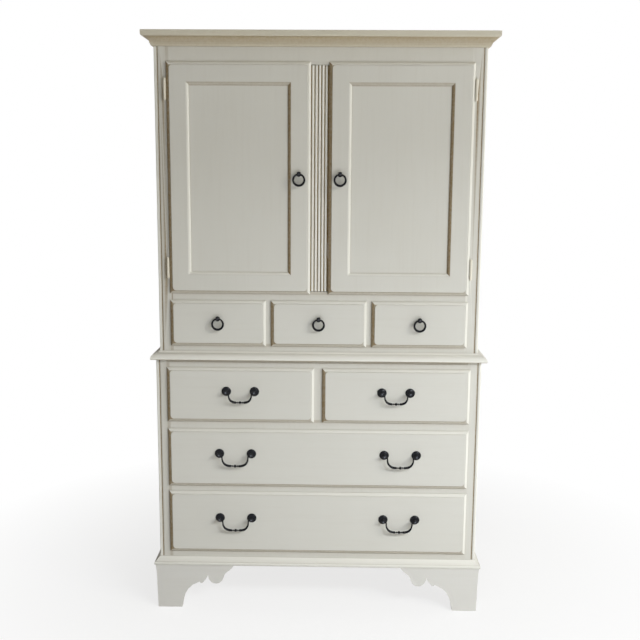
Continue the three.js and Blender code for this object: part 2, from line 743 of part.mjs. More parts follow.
// The upper case
function makeUpperCase() {
  const group = new THREE.Group();
  const zSpan = [upperBottom, upperTop];
  const inner = upperHalf - sideThickness;
  const ySpan = [upperFace + frameThickness, insideRear];
  const smallOpenings = smallDrawers.map(openingOf);
  const deckLevel = doorOpening.zSpan[0];
  const shelfUnderside = upperTop - sideThickness - playerBayHeight - panelBoardThickness;

  for (const [name, hand] of [['upper_left_side', -1], ['upper_right_side', 1]]) {
    const cleat = block(
      span(hand * (inner - cleatWidth), hand * (inner + overrun)),
      [upperFace + shelfSetback, insideRear - shelfRearGap],
      [shelfUnderside - cleatHeight, shelfUnderside],
    );
    group.add(piece(name, sideBoard(hand, upperHalf, upperFace, zSpan).add(cleat), 'paint'));
  }

  let frame = faceFrame(upperHalf, upperFace, zSpan, [...smallOpenings, doorOpening]);
  for (const hand of [-1, 1]) {
    for (const height of hingeHeights) {
      const zMortise = grown([height - hingeLength / 2, height + hingeLength / 2], seatGap);
      const outer = hand * (barrelX + barrelRadius + seatGap);
      const edge = hand * (doorOpening.xSpan[1] - overrun);
      const plateMortise = block(
        span(outer, edge),
        [upperFace - overrun, upperFace + leafThickness + seatGap],
        zMortise,
      );
      const turnMortise = block(
        span(hand * (doorOpening.xSpan[1] + leafThickness + seatGap), edge),
        [upperFace - overrun, upperFace + frameLeafReturn + seatGap],
        zMortise,
      );
      frame = frame.subtract(plateMortise).subtract(turnMortise);
    }
  }
  group.add(piece('upper_face_frame', frame, 'paint'));

  const backHalf = upperHalf - sideThickness + backRabbet;
  const cableHole = new THREE.Shape();
  const holeEnd = cableHoleWidth / 2 - cableHoleHeight / 2;
  const holeCentre = deckLevel + cableHoleHeightAboveDeck;
  cableHole.absarc(holeEnd, holeCentre, cableHoleHeight / 2, -Math.PI / 2, Math.PI / 2, false);
  cableHole.absarc(-holeEnd, holeCentre, cableHoleHeight / 2, Math.PI / 2, Math.PI * 1.5, false);
  const back = block([-backHalf, backHalf], [insideRear, rear], zSpan)
    .subtract(prism(cableHole, 'y', grown([insideRear, rear], overrun)));
  group.add(piece('upper_back_panel', back, 'inside'));

  const top = block([-inner, inner], ySpan, [upperTop - sideThickness, upperTop]);
  group.add(piece('upper_top_panel', top, 'inside'));
  const deckSpan = [smallOpenings[0].zSpan[1] + seatGap, deckLevel];
  group.add(piece('tv_deck', block([-inner, inner], ySpan, deckSpan), 'inside'));

  const stile = smallOpenings[1].xSpan[0] - smallOpenings[0].xSpan[1];
  const floorSpan = { xSpan: doorOpening.xSpan, zSpan: smallOpenings[0].zSpan };
  let floor = runnerBoard(upperHalf, upperFace, floorSpan, false);
  for (const hand of [-1, 1]) {
    const centre = hand * (smallOpenings[2].xSpan[0] - stile / 2);
    floor = floor.add(partition(centre, stile, upperFace, [floorSpan.zSpan[0], deckSpan[0]]));
  }
  group.add(piece('small_drawer_floor', floor, 'inside'));

  const shelf = block(
    grown([-inner, inner], -shelfSideGap),
    [upperFace + shelfSetback, insideRear - shelfRearGap],
    [shelfUnderside, shelfUnderside + panelBoardThickness],
  );
  group.add(piece('media_shelf', shelf, 'inside'));

  const lapSpace = block(
    [-upperHalf, upperHalf],
    [upperFace, rear + overrun],
    [corniceBottom - overrun, upperTop],
  );
  const well = block(
    grown([-upperHalf, upperHalf], -corniceWall),
    [upperFace + corniceWall, rear + overrun],
    [upperTop - overrun, corniceTop + overrun],
  );
  const cornice = mouldedBoard(corniceProfile, upperHalf, upperFace).subtract(lapSpace).subtract(well);
  group.add(piece('cornice', cornice, 'paint'));
  return group;
}

// A pierced knob on a neck, from the field outwards; the ring hangs through its hole
function ringKnob(field) {
  const dome = quarter([0, ringStandoff], [knobRadius, 0], [0, knobHalfDepth], profileSteps + 1);
  const cheek = quarter([0, ringStandoff], [knobNeck, -knobHalfDepth], [knobRadius - knobNeck, 0]).slice(1, -1);
  const profile = [
    [0, field - overrun],
    [knobCollar, field - overrun],
    [knobCollar, field + knobCollarHeight],
    [knobNeck, field + knobCollarHeight],
    [knobNeck, field + ringStandoff - knobHalfDepth],
    ...cheek.map(([radius, distance]) => [radius, field + distance]),
    ...dome.map(([radius, distance]) => [radius, field + distance]),
  ];
  return turnedAlongY(profile);
}

const ringHole = ringTube + pullPlay + ringRadius - Math.sqrt(ringRadius ** 2 - knobRadius ** 2);

function ringKnobOn(front, x, y, z) {
  const knob = ringKnob(frontFieldReach).translate([x, y, z]);
  const hole = rodAlongX(ringHole, grown([-knobRadius, knobRadius], overrun));
  const axisY = y - frontFieldReach - ringStandoff;
  return front.add(knob).subtract(hole.translate([x, axisY, z]));
}

function ringPull(name) {
  const ring = new THREE.TorusGeometry(ringRadius, ringTube, ringSides, ringSteps);
  ring.rotateX(Math.PI / 2);
  ring.translate(0, 0, -ringRadius);
  return piece(name, solidOf(ring), 'iron');
}

// A domed rosette and a pierced boss, from the field outwards; one end of a bail turns in it
function bailPost(field) {
  const crown = quarter([0, rosetteRim], [rosetteRadius, 0], [0, rosetteCrown - rosetteRim]).slice(0, -1);
  const dome = quarter([0, bailStandoff], [bossRadius, 0], [0, bossHalfDepth], profileSteps + 1);
  const profile = [
    [0, field - overrun],
    [rosetteRadius, field - overrun],
    ...crown.map(([radius, distance]) => [radius, field + distance]),
    [bossNeck, field + rosetteCrown],
    [bossNeck, field + bailStandoff - bossHalfDepth],
    ...dome.map(([radius, distance]) => [radius, field + distance]),
  ];
  return turnedAlongY(profile);
}

function bailPostsOn(front, x, y, z, bail) {
  let result = front;
  const axisY = y - frontFieldReach - bailStandoff;
  for (const hand of [-1, 1]) {
    const postX = x + (hand * bail.span) / 2;
    const bore = span(-hand * (bossRadius + overrun), -hand * (bailPinEnd - seatGap));
    const hole = rodAlongX(bailTube + pullPlay, bore);
    result = result.add(bailPost(frontFieldReach).translate([postX, y, z]));
    result = result.subtract(hole.translate([postX, axisY, z]));
  }
  return result;
}

// A bail hangs from the X axis at its origin: pins, arms that sweep down, and a beaded middle
function bailPull(name, bail) {
  const half = bail.span / 2;
  const elbow = half - bailElbow;
  const arm = bailCurveShares.map(([across, down]) => [half * (1 - across), -bail.drop * down]);
  const points = [[elbow, 0], ...arm, ...mirrored([[elbow, 0], ...arm]).slice(1)];
  const path = new THREE.CatmullRomCurve3(points.map(([x, z]) => new THREE.Vector3(x, 0, z)));
  const section = new THREE.Shape().absarc(0, 0, bailTube, 0, Math.PI * 2, false);
  const settings = { steps: bailSteps, extrudePath: path, curveSegments: ringSides / 2 };
  let bar = solidOf(new THREE.ExtrudeGeometry(section, settings));
  for (const hand of [-1, 1]) {
    const corner = solidOf(new THREE.SphereGeometry(bailTube, ringSides, ringSides / 2));
    bar = bar.add(rodAlongX(bailTube, span(hand * (half - bailPinEnd), hand * elbow)));
    bar = bar.add(corner.translate([hand * elbow, 0, 0]));
  }
  const collar = (centre) => turnedAlongX([
    [0, centre - bailCollarHalf],
    [bailCollar, centre - bailCollarHalf / 2],
    [bailCollar, centre + bailCollarHalf / 2],
    [0, centre + bailCollarHalf],
  ]);
  const bead = turnedAlongX([
    [0, -bailBeadHalf],
    ...quarter([0, 0], [0, -bailBeadHalf], [bailBead, 0]).slice(1),
    ...quarter([0, 0], [bailBead, 0], [0, bailBeadHalf]).slice(1, -1),
    [0, bailBeadHalf],
  ]);
  const ornament = bead.add(collar(-bailCollarPlace)).add(collar(bailCollarPlace));
  return piece(name, bar.add(ornament.translate([0, 0, -bail.drop])), 'iron');
}

// A drawer box, open on top, with its bottom held above the lower edges of its sides
function drawerBox(half, length, [bottom, top]) {
  const ySpan = [tongueDepth, tongueDepth + length];
  const inside = block(
    grown([-half, half], -boxSide),
    grown(ySpan, -boxSide),
    [bottom + boxSkid + boxBottom, top + overrun],
  );
  const under = block(
    grown([-half, half], -boxSide),
    grown(ySpan, overrun),
    [bottom - overrun, bottom + boxSkid],
  );
  return block([-half, half], ySpan, [bottom, top]).subtract(inside).subtract(under);
}

// A drawer stands in a group at the middle of its front, on the face of its case
function makeDrawer(drawer, face, boxLength) {
  const group = new THREE.Group();
  const x = middle(drawer.xSpan);
  const z = middle(drawer.zSpan);
  group.position.set(x, face, z);
  const halfWidth = (drawer.xSpan[1] - drawer.xSpan[0]) / 2;
  const halfHeight = (drawer.zSpan[1] - drawer.zSpan[0]) / 2;
  const openingHalf = halfWidth - lipOverlap;
  const openingHalfHeight = halfHeight - lipOverlap;
  const tongue = block(
    grown([-openingHalf, openingHalf], -tongueClearance),
    [-seatGap - overrun, tongueDepth],
    grown([-openingHalfHeight, openingHalfHeight], -tongueClearance),
  );
  let front = lippedFront([-halfWidth, halfWidth], [-halfHeight, halfHeight], 0).add(tongue);
  const boxSpan = [-openingHalfHeight + seatGap, openingHalfHeight - boxHeadroom];
  const box = drawerBox(openingHalf - slideClearance, boxLength, boxSpan);
  if (drawer.bail) {
    drawer.pulls.forEach((pullX, i) => {
      front = bailPostsOn(front, pullX, 0, drawer.bail.rise, drawer.bail);
      const hand = drawer.pulls.length > 1 ? ['_left', '_right'][i] : '';
      const bail = bailPull(`${drawer.name}_drawer${hand}_bail`, drawer.bail);
      bail.position.set(pullX, -frontFieldReach - bailStandoff, drawer.bail.rise);
      group.add(bail);
    });
  } else {
    front = ringKnobOn(front, 0, 0, smallRingRise);
    const ring = ringPull(`${drawer.name}_drawer_ring`);
    ring.position.set(0, -frontFieldReach - ringStandoff, smallRingRise);
    group.add(ring);
  }
  group.add(piece(`${drawer.name}_drawer_front`, front, 'paint'));
  group.add(piece(`${drawer.name}_drawer_box`, box, 'drawerWood'));
  return group;
}

// Mouldings stuck on the inner edges of the door frame, cut by a plug with this profile of
// [inset, depth] points from back to front
function stickingPlug(xSpan, zSpan) {
  const floor = frontFieldReach - stickingDepth;
  const profile = [
    [stickingWidth, floor - overrun],
    ...quarter([0, floor], [stickingWidth, 0], [0, stickingDepth - stickingQuirk]),
    [0, frontFieldReach + overrun],
  ];
  return mouldedPanel(profile, xSpan, zSpan, upperFace);
}

// One door: a lipped frame around a loose flat panel, with its two hinges and its ring
function makeDoor(side, hand) {
  const group = new THREE.Group();
  const inner = gapBetweenDoors / 2;
  const xSpan = span(hand * inner, hand * upperFrontHalf);
  const tongueOuter = doorOpening.xSpan[1] - tongueClearance;
  const tongue = block(
    span(hand * inner, hand * tongueOuter),
    [upperFace - seatGap - overrun, upperFace + tongueDepth],
    grown(doorOpening.zSpan, -tongueClearance),
  );
  const seen = { xSpan: grown(xSpan, -memberWidth), zSpan: grown(doorRow, -memberWidth) };
  const throughX = grown(seen.xSpan, -stickingWidth);
  const throughZ = grown(seen.zSpan, -stickingWidth);
  const panelFront = upperFace - frontFieldReach + stickingDepth + seatGap;
  const panelY = [panelFront, panelFront + doorPanelThickness];
  const groove = block(
    grown(throughX, panelInGroove + panelPlay),
    grown(panelY, seatGap),
    grown(throughZ, panelInGroove + panelPlay),
  );
  const opening = block(throughX, grown([upperFace - frontFieldReach, upperFace + tongueDepth], overrun), throughZ);
  let frame = lippedFront(xSpan, doorRow, upperFace)
    .add(tongue)
    .subtract(stickingPlug(seen.xSpan, seen.zSpan))
    .subtract(opening)
    .subtract(groove);

  const hinges = [['upper', hingeHeights[0]], ['lower', hingeHeights[1]]];
  for (const [name, height] of hinges) {
    const zMortise = grown([height - hingeLength / 2, height + hingeLength / 2], seatGap);
    const lipBack = upperFace - seatGap;
    const plateMortise = block(
      span(hand * (upperFrontHalf + overrun), hand * (tongueOuter - leafThickness - seatGap)),
      [lipBack - leafThickness - seatGap, lipBack + overrun],
      zMortise,
    );
    const turnMortise = block(
      span(hand * (tongueOuter + overrun), hand * (tongueOuter - leafThickness - seatGap)),
      [lipBack - leafThickness - seatGap, lipBack + doorLeafReturn + seatGap],
      zMortise,
    );
    frame = frame.subtract(plateMortise).subtract(turnMortise);
    for (const [part, leaf] of [['frame_leaf', frameLeaf(-hand)], ['door_leaf', doorLeaf(-hand)]]) {
      const mesh = piece(`${side}_${name}_hinge_${part}`, leaf, 'hingeMetal');
      mesh.position.set(hand * barrelX, barrelY, height);
      group.add(mesh);
    }
  }

  const ringX = hand * (inner + (bandWidth + memberWidth) / 2);
  const ringZ = doorRow[1] - doorRingDrop;
  frame = ringKnobOn(frame, ringX, upperFace, ringZ);
  const ring = ringPull(`${side}_door_ring`);
  ring.position.set(ringX, upperFace - frontFieldReach - ringStandoff, ringZ);
  const panel = block(grown(throughX, panelInGroove), panelY, grown(throughZ, panelInGroove));
  group.add(piece(`${side}_door_frame`, frame, 'paint'));
  group.add(piece(`${side}_door_panel`, panel, 'paint'));
  group.add(ring);
  return group;
}

// The reeded strip that fills the space between the doors and swings with the left one
function makeFlutedStrip() {
  const x0 = -gapBetweenDoors / 2;
  const x1 = gapBetweenDoors / 2 - stripClearance;
  const pitch = (x1 - x0 - 2 * reedMargin) / reedCount;
  const reedWidth = pitch - fluteWidth;
  const valley = upperFace + reedRise;
  const outline = [[x0, upperFace + frameThickness], [x0, valley], [x0 + reedMargin, valley]];
  for (let i = 0; i < reedCount; i += 1) {
    const centre = x0 + reedMargin + pitch * (i + 0.5);
    const rise = quarter([centre, valley], [-reedWidth / 2, 0], [0, -reedRise]);
    const fall = quarter([centre, valley], [0, -reedRise], [reedWidth / 2, 0]);
    outline.push(...rise, ...fall.slice(1));
  }
  outline.push([x1, valley], [x1, upperFace + frameThickness]);
  return piece('fluted_strip', prism(outline, 'z', grown(doorOpening.zSpan, -stripClearance)), 'paint');
}

const armoire = new THREE.Group();
armoire.add(makeLowerCase());
armoire.add(makeUpperCase());
armoire.add(makeDoor('left', -1));
armoire.add(makeDoor('right', 1));
armoire.add(makeFlutedStrip());
for (const drawer of lowerDrawers) {
  armoire.add(makeDrawer(drawer, lowerFace, lowerBoxLength));
}
for (const drawer of smallDrawers) {
  armoire.add(makeDrawer(drawer, upperFace, upperBoxLength));
}

export default armoire;
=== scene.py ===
import json
import math

import bmesh
import bpy
from mathutils import Matrix, Vector

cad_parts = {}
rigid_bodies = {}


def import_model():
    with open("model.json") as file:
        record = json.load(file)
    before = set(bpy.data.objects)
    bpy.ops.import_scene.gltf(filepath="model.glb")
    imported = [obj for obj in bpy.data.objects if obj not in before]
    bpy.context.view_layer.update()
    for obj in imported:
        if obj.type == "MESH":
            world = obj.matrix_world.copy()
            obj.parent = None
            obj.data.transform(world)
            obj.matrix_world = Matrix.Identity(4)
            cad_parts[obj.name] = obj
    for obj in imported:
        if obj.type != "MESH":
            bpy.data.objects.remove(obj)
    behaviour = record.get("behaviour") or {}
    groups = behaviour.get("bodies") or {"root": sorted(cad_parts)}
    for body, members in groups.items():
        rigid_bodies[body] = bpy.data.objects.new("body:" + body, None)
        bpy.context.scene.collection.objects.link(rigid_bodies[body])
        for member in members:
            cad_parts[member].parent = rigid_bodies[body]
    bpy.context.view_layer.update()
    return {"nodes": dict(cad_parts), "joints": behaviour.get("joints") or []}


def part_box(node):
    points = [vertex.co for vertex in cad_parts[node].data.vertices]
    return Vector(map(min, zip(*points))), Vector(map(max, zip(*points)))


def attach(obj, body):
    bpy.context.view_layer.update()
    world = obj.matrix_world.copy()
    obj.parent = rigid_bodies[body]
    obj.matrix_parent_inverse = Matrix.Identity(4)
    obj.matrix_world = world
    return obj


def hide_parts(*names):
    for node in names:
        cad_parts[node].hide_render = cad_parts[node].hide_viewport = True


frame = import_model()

nodes = frame["nodes"]
scene = bpy.context.scene

# The camera
# It stands a little right of the middle, about three metres off and at eye height, and looks
# slightly down and left, as the photograph was taken.
camera_place = Vector((0.0551, -3.2092, 1.4920))
camera_yaw = math.radians(-0.984)
camera_pitch = math.radians(9.226)
camera_roll = math.radians(0.377)
camera_lens = 50.625

forward = Vector((
    math.sin(camera_yaw) * math.cos(camera_pitch),
    math.cos(camera_yaw) * math.cos(camera_pitch),
    -math.sin(camera_pitch),
))
level_right = Vector((math.cos(camera_yaw), -math.sin(camera_yaw), 0))
level_up = level_right.cross(forward)
view_right = math.cos(camera_roll) * level_right + math.sin(camera_roll) * level_up
view_up = -math.sin(camera_roll) * level_right + math.cos(camera_roll) * level_up
camera_data = bpy.data.cameras.new("camera")
camera_data.lens = camera_lens
camera_data.sensor_width = 36
camera = bpy.data.objects.new("camera", camera_data)
turn = Matrix((view_right, view_up, -forward)).transposed().to_4x4()
camera.matrix_world = Matrix.Translation(camera_place) @ turn
scene.collection.objects.link(camera)
scene.camera = camera
scene.view_settings.view_transform = "Standard"


# The studio
# A pale floor under a white surround, a lamp right of the camera that is turned down and away
# from the armoire, a larger one far out on the right like a window, and a dim light all round.
def place(tree, kind, sockets, **settings):
    """Adds a node to a tree, with its settings, and fills or joins its sockets."""
    node = tree.nodes.new("ShaderNode" + kind)
    for key, value in settings.items():
        setattr(node, key, value)
    for key, value in sockets.items():
        if isinstance(value, bpy.types.NodeSocket):
            tree.links.new(value, node.inputs[key])
        else:
            node.inputs[key].default_value = value
    return node


def new_material(name):
    material = bpy.data.materials.new(name)
    material.use_nodes = True
    material.node_tree.nodes.clear()
    return material


def rays_to_surround(tree):
    """1 for the rays that should see the white surround: camera, mirror and glass rays."""
    rays = place(tree, "LightPath", {})
    either = place(tree, "Math", {0: rays.outputs["Is Camera Ray"], 1: rays.outputs["Is Glossy Ray"]},
                   operation="MAXIMUM")
    return place(tree, "Math", {0: either.outputs[0], 1: rays.outputs["Is Transmission Ray"]},
                 operation="MAXIMUM").outputs[0]


surround = bpy.data.worlds.new("surround")
surround.use_nodes = True
tree = surround.node_tree
tree.nodes.clear()
direction = place(tree, "SeparateXYZ", {0: place(tree, "TexCoord", {}).outputs["Generated"]})
towards_window = place(tree, "MapRange", {0: direction.outputs[0], 1: -0.5, 2: 0.6})
room = place(tree, "Mix", {0: towards_window.outputs[0], 6: (0.075, 0.06, 0.038, 1),
                           7: (0.22, 0.21, 0.18, 1)}, data_type="RGBA")
dim = place(tree, "Background", {"Color": room.outputs[2], "Strength": 1.0})
white = place(tree, "Background", {"Color": (1, 1, 1, 1), "Strength": 1.0})
mix = place(tree, "MixShader", {0: rays_to_surround(tree), 1: dim.outputs[0], 2: white.outputs[0]})
place(tree, "OutputWorld", {"Surface": mix.outputs[0]})
scene.world = surround

floor_half = 12.0
floor_mesh = bpy.data.meshes.new("floor")
floor_mesh.from_pydata(
    [(x, y, 0) for x, y in ((-1, -1), (1, -1), (1, 1), (-1, 1))], [], [(0, 1, 2, 3)])
for vertex in floor_mesh.vertices:
    vertex.co *= floor_half
floor = bpy.data.objects.new("floor", floor_mesh)
scene.collection.objects.link(floor)
floor_material = new_material("pale_floor")
tree = floor_material.node_tree
coordinates = place(tree, "TexCoord", {})
grain = place(tree, "TexNoise", {"Vector": coordinates.outputs["Object"], "Scale": 40.0, "Detail": 4.0})
pale = place(tree, "Mix", {0: grain.outputs[0], 6: (0.86, 0.86, 0.85, 1), 7: (0.9, 0.9, 0.89, 1)},
             data_type="RGBA")
matt = place(tree, "BsdfPrincipled", {"Base Color": pale.outputs[2], "Roughness": 0.85})
white = place(tree, "Emission", {"Color": (1, 1, 1, 1), "Strength": 1.0})
distance = place(tree, "VectorMath", {0: coordinates.outputs["Object"]}, operation="LENGTH")
far = place(tree, "MapRange", {0: distance.outputs["Value"], 1: 0.6, 2: 1.6, 3: 0.78, 4: 1.0})
seen = place(tree, "Math", {0: far.outputs[0], 1: rays_to_surround(tree)}, operation="MULTIPLY")
mix = place(tree, "MixShader", {0: seen.outputs[0], 1: matt.outputs[0], 2: white.outputs[0]})
place(tree, "OutputMaterial", {"Surface": mix.outputs[0]})
floor_mesh.materials.append(floor_material)

for name, lamp_place, target, size, power, colour in (
    ("near_lamp", (2.0, -3.1, 2.7), (2.3, -5.0, -2.6), 1.3, 240, (0.88, 0.935, 1)),
    ("window_lamp", (7.5, -4.8, 4.6), (4.5, 0, -7.5), 3.0, 455, (1, 0.965, 0.88)),
):
    lamp = bpy.data.lights.new(name, "AREA")
    lamp.shape = "SQUARE"
    lamp.size = size
    lamp.energy = power
    lamp.color = colour
    lamp_object = bpy.data.objects.new(name, lamp)
    lamp_object.location = lamp_place
    aim = Vector(target) - lamp_object.location
    lamp_object.rotation_euler = aim.to_track_quat("-Z", "Y").to_euler()
    scene.collection.objects.link(lamp_object)


# Sides of both cases
# Wide boards painted cream and rubbed with a thin brown glaze that stays in every hollow. The same mark
# also carries painted shade, heavier on faces turned left or down. Where the mark is below zero the
# paint is made lighter: a painted highlight on lit faces, noses and upward slopes. They are glued
# behind the face frames.
def new_group(name, inputs, outputs):
    """A node group with named inputs and outputs, given as (name, kind, value)."""
    group = bpy.data.node_groups.new(name, "ShaderNodeTree")
    for label, kind, value in inputs:
        socket = group.interface.new_socket(label, in_out="INPUT", socket_type="NodeSocket" + kind)
        socket.default_value = value
    for label, kind in outputs:
        group.interface.new_socket(label, in_out="OUTPUT", socket_type="NodeSocket" + kind)
    start = group.nodes.new("NodeGroupInput")
    end = group.nodes.new("NodeGroupOutput")
    return group, start.outputs, end.inputs


def blend_colours(tree, share, first, second):
    return place(tree, "Mix", {0: share, 6: first, 7: second}, data_type="RGBA").outputs[2]


def ramp(tree, value, low, high, to_low=0.0, to_high=1.0):
    return place(tree, "MapRange", {0: value, 1: low, 2: high, 3: to_low, 4: to_high}).outputs[0]


glazed_paint_with_painted_light, given, result = new_group(
    "glazed_paint_with_painted_light",
    (("Paint", "Color", (0.7, 0.68, 0.6, 1)), ("Glaze and shade", "Color", (0.2, 0.14, 0.08, 1)),
     ("Brushing", "Vector", (1, 1, 1))),
    (("Color", "Color"), ("Roughness", "Float"), ("Height", "Float")),
)
coordinates = place(glazed_paint_with_painted_light, "TexCoord", {}).outputs["Object"]
along = place(glazed_paint_with_painted_light, "VectorMath", {0: coordinates, 1: given["Brushing"]}, operation="MULTIPLY")
bristles = place(glazed_paint_with_painted_light, "TexNoise", {"Vector": along.outputs[0], "Scale": 90.0, "Detail": 5.0})
cloud = place(glazed_paint_with_painted_light, "TexNoise", {"Vector": coordinates, "Scale": 2.6, "Detail": 3.0})
broken = place(glazed_paint_with_painted_light, "TexNoise", {"Vector": coordinates, "Scale": 130.0, "Detail": 5.0})
grit = place(glazed_paint_with_painted_light, "TexNoise", {"Vector": coordinates, "Scale": 420.0, "Detail": 2.0})
glaze_shade_and_highlight = place(glazed_paint_with_painted_light, "Attribute", {}, attribute_name="glaze_and_shade").outputs["Fac"]
toned = place(glazed_paint_with_painted_light, "HueSaturation",
              {"Saturation": 1.15, "Value": 0.965, "Color": given["Paint"]})
aged = ramp(glazed_paint_with_painted_light, cloud.outputs[0], 0.42, 0.72, 0, 0.7)
mellow = blend_colours(glazed_paint_with_painted_light, aged, given["Paint"], toned.outputs[0])
film = ramp(glazed_paint_with_painted_light, bristles.outputs[0], 0.5, 0.8, 0, 0.035)
mellow = blend_colours(glazed_paint_with_painted_light, film, mellow, given["Glaze and shade"])
patchy = ramp(glazed_paint_with_painted_light, broken.outputs[0], 0.3, 0.65, 0.85, 1.05)
# The mark darkens the paint towards the glaze colour: real glaze in hollows, and painted shade on faces
# turned away from the lamps.
glaze_and_shade_share = place(glazed_paint_with_painted_light, "Math", {0: glaze_shade_and_highlight, 1: patchy}, operation="MULTIPLY", use_clamp=True)
mellow = blend_colours(glazed_paint_with_painted_light, glaze_and_shade_share.outputs[0], mellow, given["Glaze and shade"])
# Below zero the mark makes the paint lighter: a painted highlight.
lightening = place(glazed_paint_with_painted_light, "Math", {0: glaze_shade_and_highlight, 1: -1.0}, operation="MULTIPLY", use_clamp=True)
paler = place(glazed_paint_with_painted_light, "HueSaturation",
              {"Saturation": 1.05, "Value": 1.25, "Color": given["Paint"]})
mellow = blend_colours(glazed_paint_with_painted_light, lightening.outputs[0], mellow, paler.outputs[0])
glazed_paint_with_painted_light.links.new(mellow, result["Color"])
satin = ramp(glazed_paint_with_painted_light, grit.outputs[0], 0.3, 0.7, 0.42, 0.56)
glazed_paint_with_painted_light.links.new(satin, result["Roughness"])
ridges = place(glazed_paint_with_painted_light, "Math", {0: bristles.outputs[0], 1: 0.6}, operation="MULTIPLY")
relief = place(glazed_paint_with_painted_light, "Math", {0: grit.outputs[0], 1: 0.25, 2: ridges.outputs[0]},
               operation="MULTIPLY_ADD")
glazed_paint_with_painted_light.links.new(relief.outputs[0], result["Height"])

paint_colour = (0.700, 0.690, 0.645, 1)
glaze_and_shade_colour = (0.240, 0.155, 0.050, 1)


def painted(name, brushing, paint=paint_colour, glaze_and_shade=glaze_and_shade_colour):
    """Cream paint with its brush marks stretched along the board."""
    material = new_material(name)
    tree = material.node_tree
    coat = tree.nodes.new("ShaderNodeGroup")
    coat.node_tree = glazed_paint_with_painted_light
    coat.inputs["Paint"].default_value = paint
    coat.inputs["Glaze and shade"].default_value = glaze_and_shade
    coat.inputs["Brushing"].default_value = brushing
    bump = place(tree, "Bump",
                 {"Height": coat.outputs["Height"], "Strength": 0.35, "Distance": 0.0006})
    surface = place(tree, "BsdfPrincipled", {
        "Base Color": coat.outputs["Color"], "Roughness": coat.outputs["Roughness"],
        "Normal": bump.outputs[0], "Specular IOR Level": 0.2,
    })
    place(tree, "OutputMaterial", {"Surface": surface.outputs[0]})
    return material


def dress(names, material):
    """Gives CAD nodes that keep their own shape a finish."""
    for name in names:
        mesh = nodes[name].data
        mesh.materials.clear()
        mesh.materials.append(material)


upright_paint = painted("cream_paint_upright", (1, 1, 0.05))
level_paint = painted("cream_paint_level", (0.05, 1, 1))
dress(("lower_left_side", "lower_right_side", "upper_left_side", "upper_right_side"), upright_paint)

# Inside of both cases
# Back panels, shelves, runners and partitions are plain stained wood. They sit in rabbets and
# dados of the sides and aren't painted.
wood_figure, given, result = new_group(
    "wood_figure",
    (("Pale", "Color", (0.5, 0.4, 0.25, 1)), ("Dark", "Color", (0.3, 0.2, 0.1, 1)),
     ("Grain", "Vector", (1, 1, 1))),
    (("Color", "Color"), ("Roughness", "Float"), ("Height", "Float")),
)
coordinates = place(wood_figure, "TexCoord", {}).outputs["Object"]
along = place(wood_figure, "VectorMath", {0: coordinates, 1: given["Grain"]}, operation="MULTIPLY")
drift = place(wood_figure, "TexNoise", {"Vector": along.outputs[0], "Scale": 3.0, "Detail": 3.0})
shifted = place(wood_figure, "VectorMath", {0: drift.outputs["Color"], 1: (0.22, 0.22, 0.22)},
                operation="MULTIPLY")
moved = place(wood_figure, "VectorMath", {0: along.outputs[0], 1: shifted.outputs[0]}, operation="ADD")
growth = place(wood_figure, "TexWave", {"Vector": moved.outputs[0], "Scale": 9.0, "Distortion": 2.2,
                                        "Detail": 2.0, "Detail Scale": 1.2}, wave_profile="SAW")
pores = place(wood_figure, "TexNoise", {"Vector": along.outputs[0], "Scale": 260.0, "Detail": 3.0})
late_wood = ramp(wood_figure, growth.outputs[1], 0.1, 0.95)
figure = blend_colours(wood_figure, late_wood, given["Pale"], given["Dark"])
open_pores = ramp(wood_figure, pores.outputs[0], 0.52, 0.7, 0, 0.45)
wood_figure.links.new(blend_colours(wood_figure, open_pores, figure, given["Dark"]), result["Color"])
wood_figure.links.new(ramp(wood_figure, pores.outputs[0], 0.3, 0.7, 0.55, 0.75), result["Roughness"])
sunk = place(wood_figure, "Math", {0: 1.0, 1: open_pores}, operation="SUBTRACT")
wood_figure.links.new(sunk.outputs[0], result["Height"])


def wooden(name, pale, dark, grain):
    """Bare or stained wood with its grain stretched along the board."""
    material = new_material(name)
    tree = material.node_tree
    figure = tree.nodes.new("ShaderNodeGroup")
    figure.node_tree = wood_figure
    figure.inputs["Pale"].default_value = pale
    figure.inputs["Dark"].default_value = dark
    figure.inputs["Grain"].default_value = grain
    bump = place(tree, "Bump",
                 {"Height": figure.outputs["Height"], "Strength": 0.4, "Distance": 0.0003})
    surface = place(tree, "BsdfPrincipled", {
        "Base Color": figure.outputs["Color"], "Roughness": figure.outputs["Roughness"],
        "Normal": bump.outputs[0], "Specular IOR Level": 0.35,
    })
    place(tree, "OutputMaterial", {"Surface": surface.outputs[0]})
    return material


stain_pale = (0.40, 0.285, 0.165, 1)
stain_dark = (0.25, 0.165, 0.085, 1)
stained_level = wooden("stained_wood_level", stain_pale, stain_dark, (0.06, 1, 1))
stained_upright = wooden("stained_wood_upright", stain_pale, stain_dark, (1, 1, 0.06))
dress(("lower_back_panel", "upper_back_panel"), stained_upright)
dress(("lower_bottom_panel", "lower_web_frame", "upper_web_frame", "small_drawer_floor",
       "tv_deck", "media_shelf", "upper_top_panel"), stained_level)

# Bracket feet
# Each foot is two sawn brackets and a glue block, set under the base. The outer faces lean in towards
# the floor and the sawn edges are softened by sanding. The paint is made a little paler: painted light
# standing in for light thrown up from the floor.
feet_paint_with_painted_light = painted("cream_paint_feet_painted_light", (0.05, 1, 1), paint=(0.735, 0.725, 0.695, 1))
dress(("front_left_foot", "front_right_foot", "rear_left_foot", "rear_right_foot"), feet_paint_with_painted_light)


# Face frames
# Stiles run the full height of each case, with a bead between two quirks worked down the outer
# corner. Rails and muntins are dowelled between them and show a hair line at each joint.
merge_gap = 0.000002


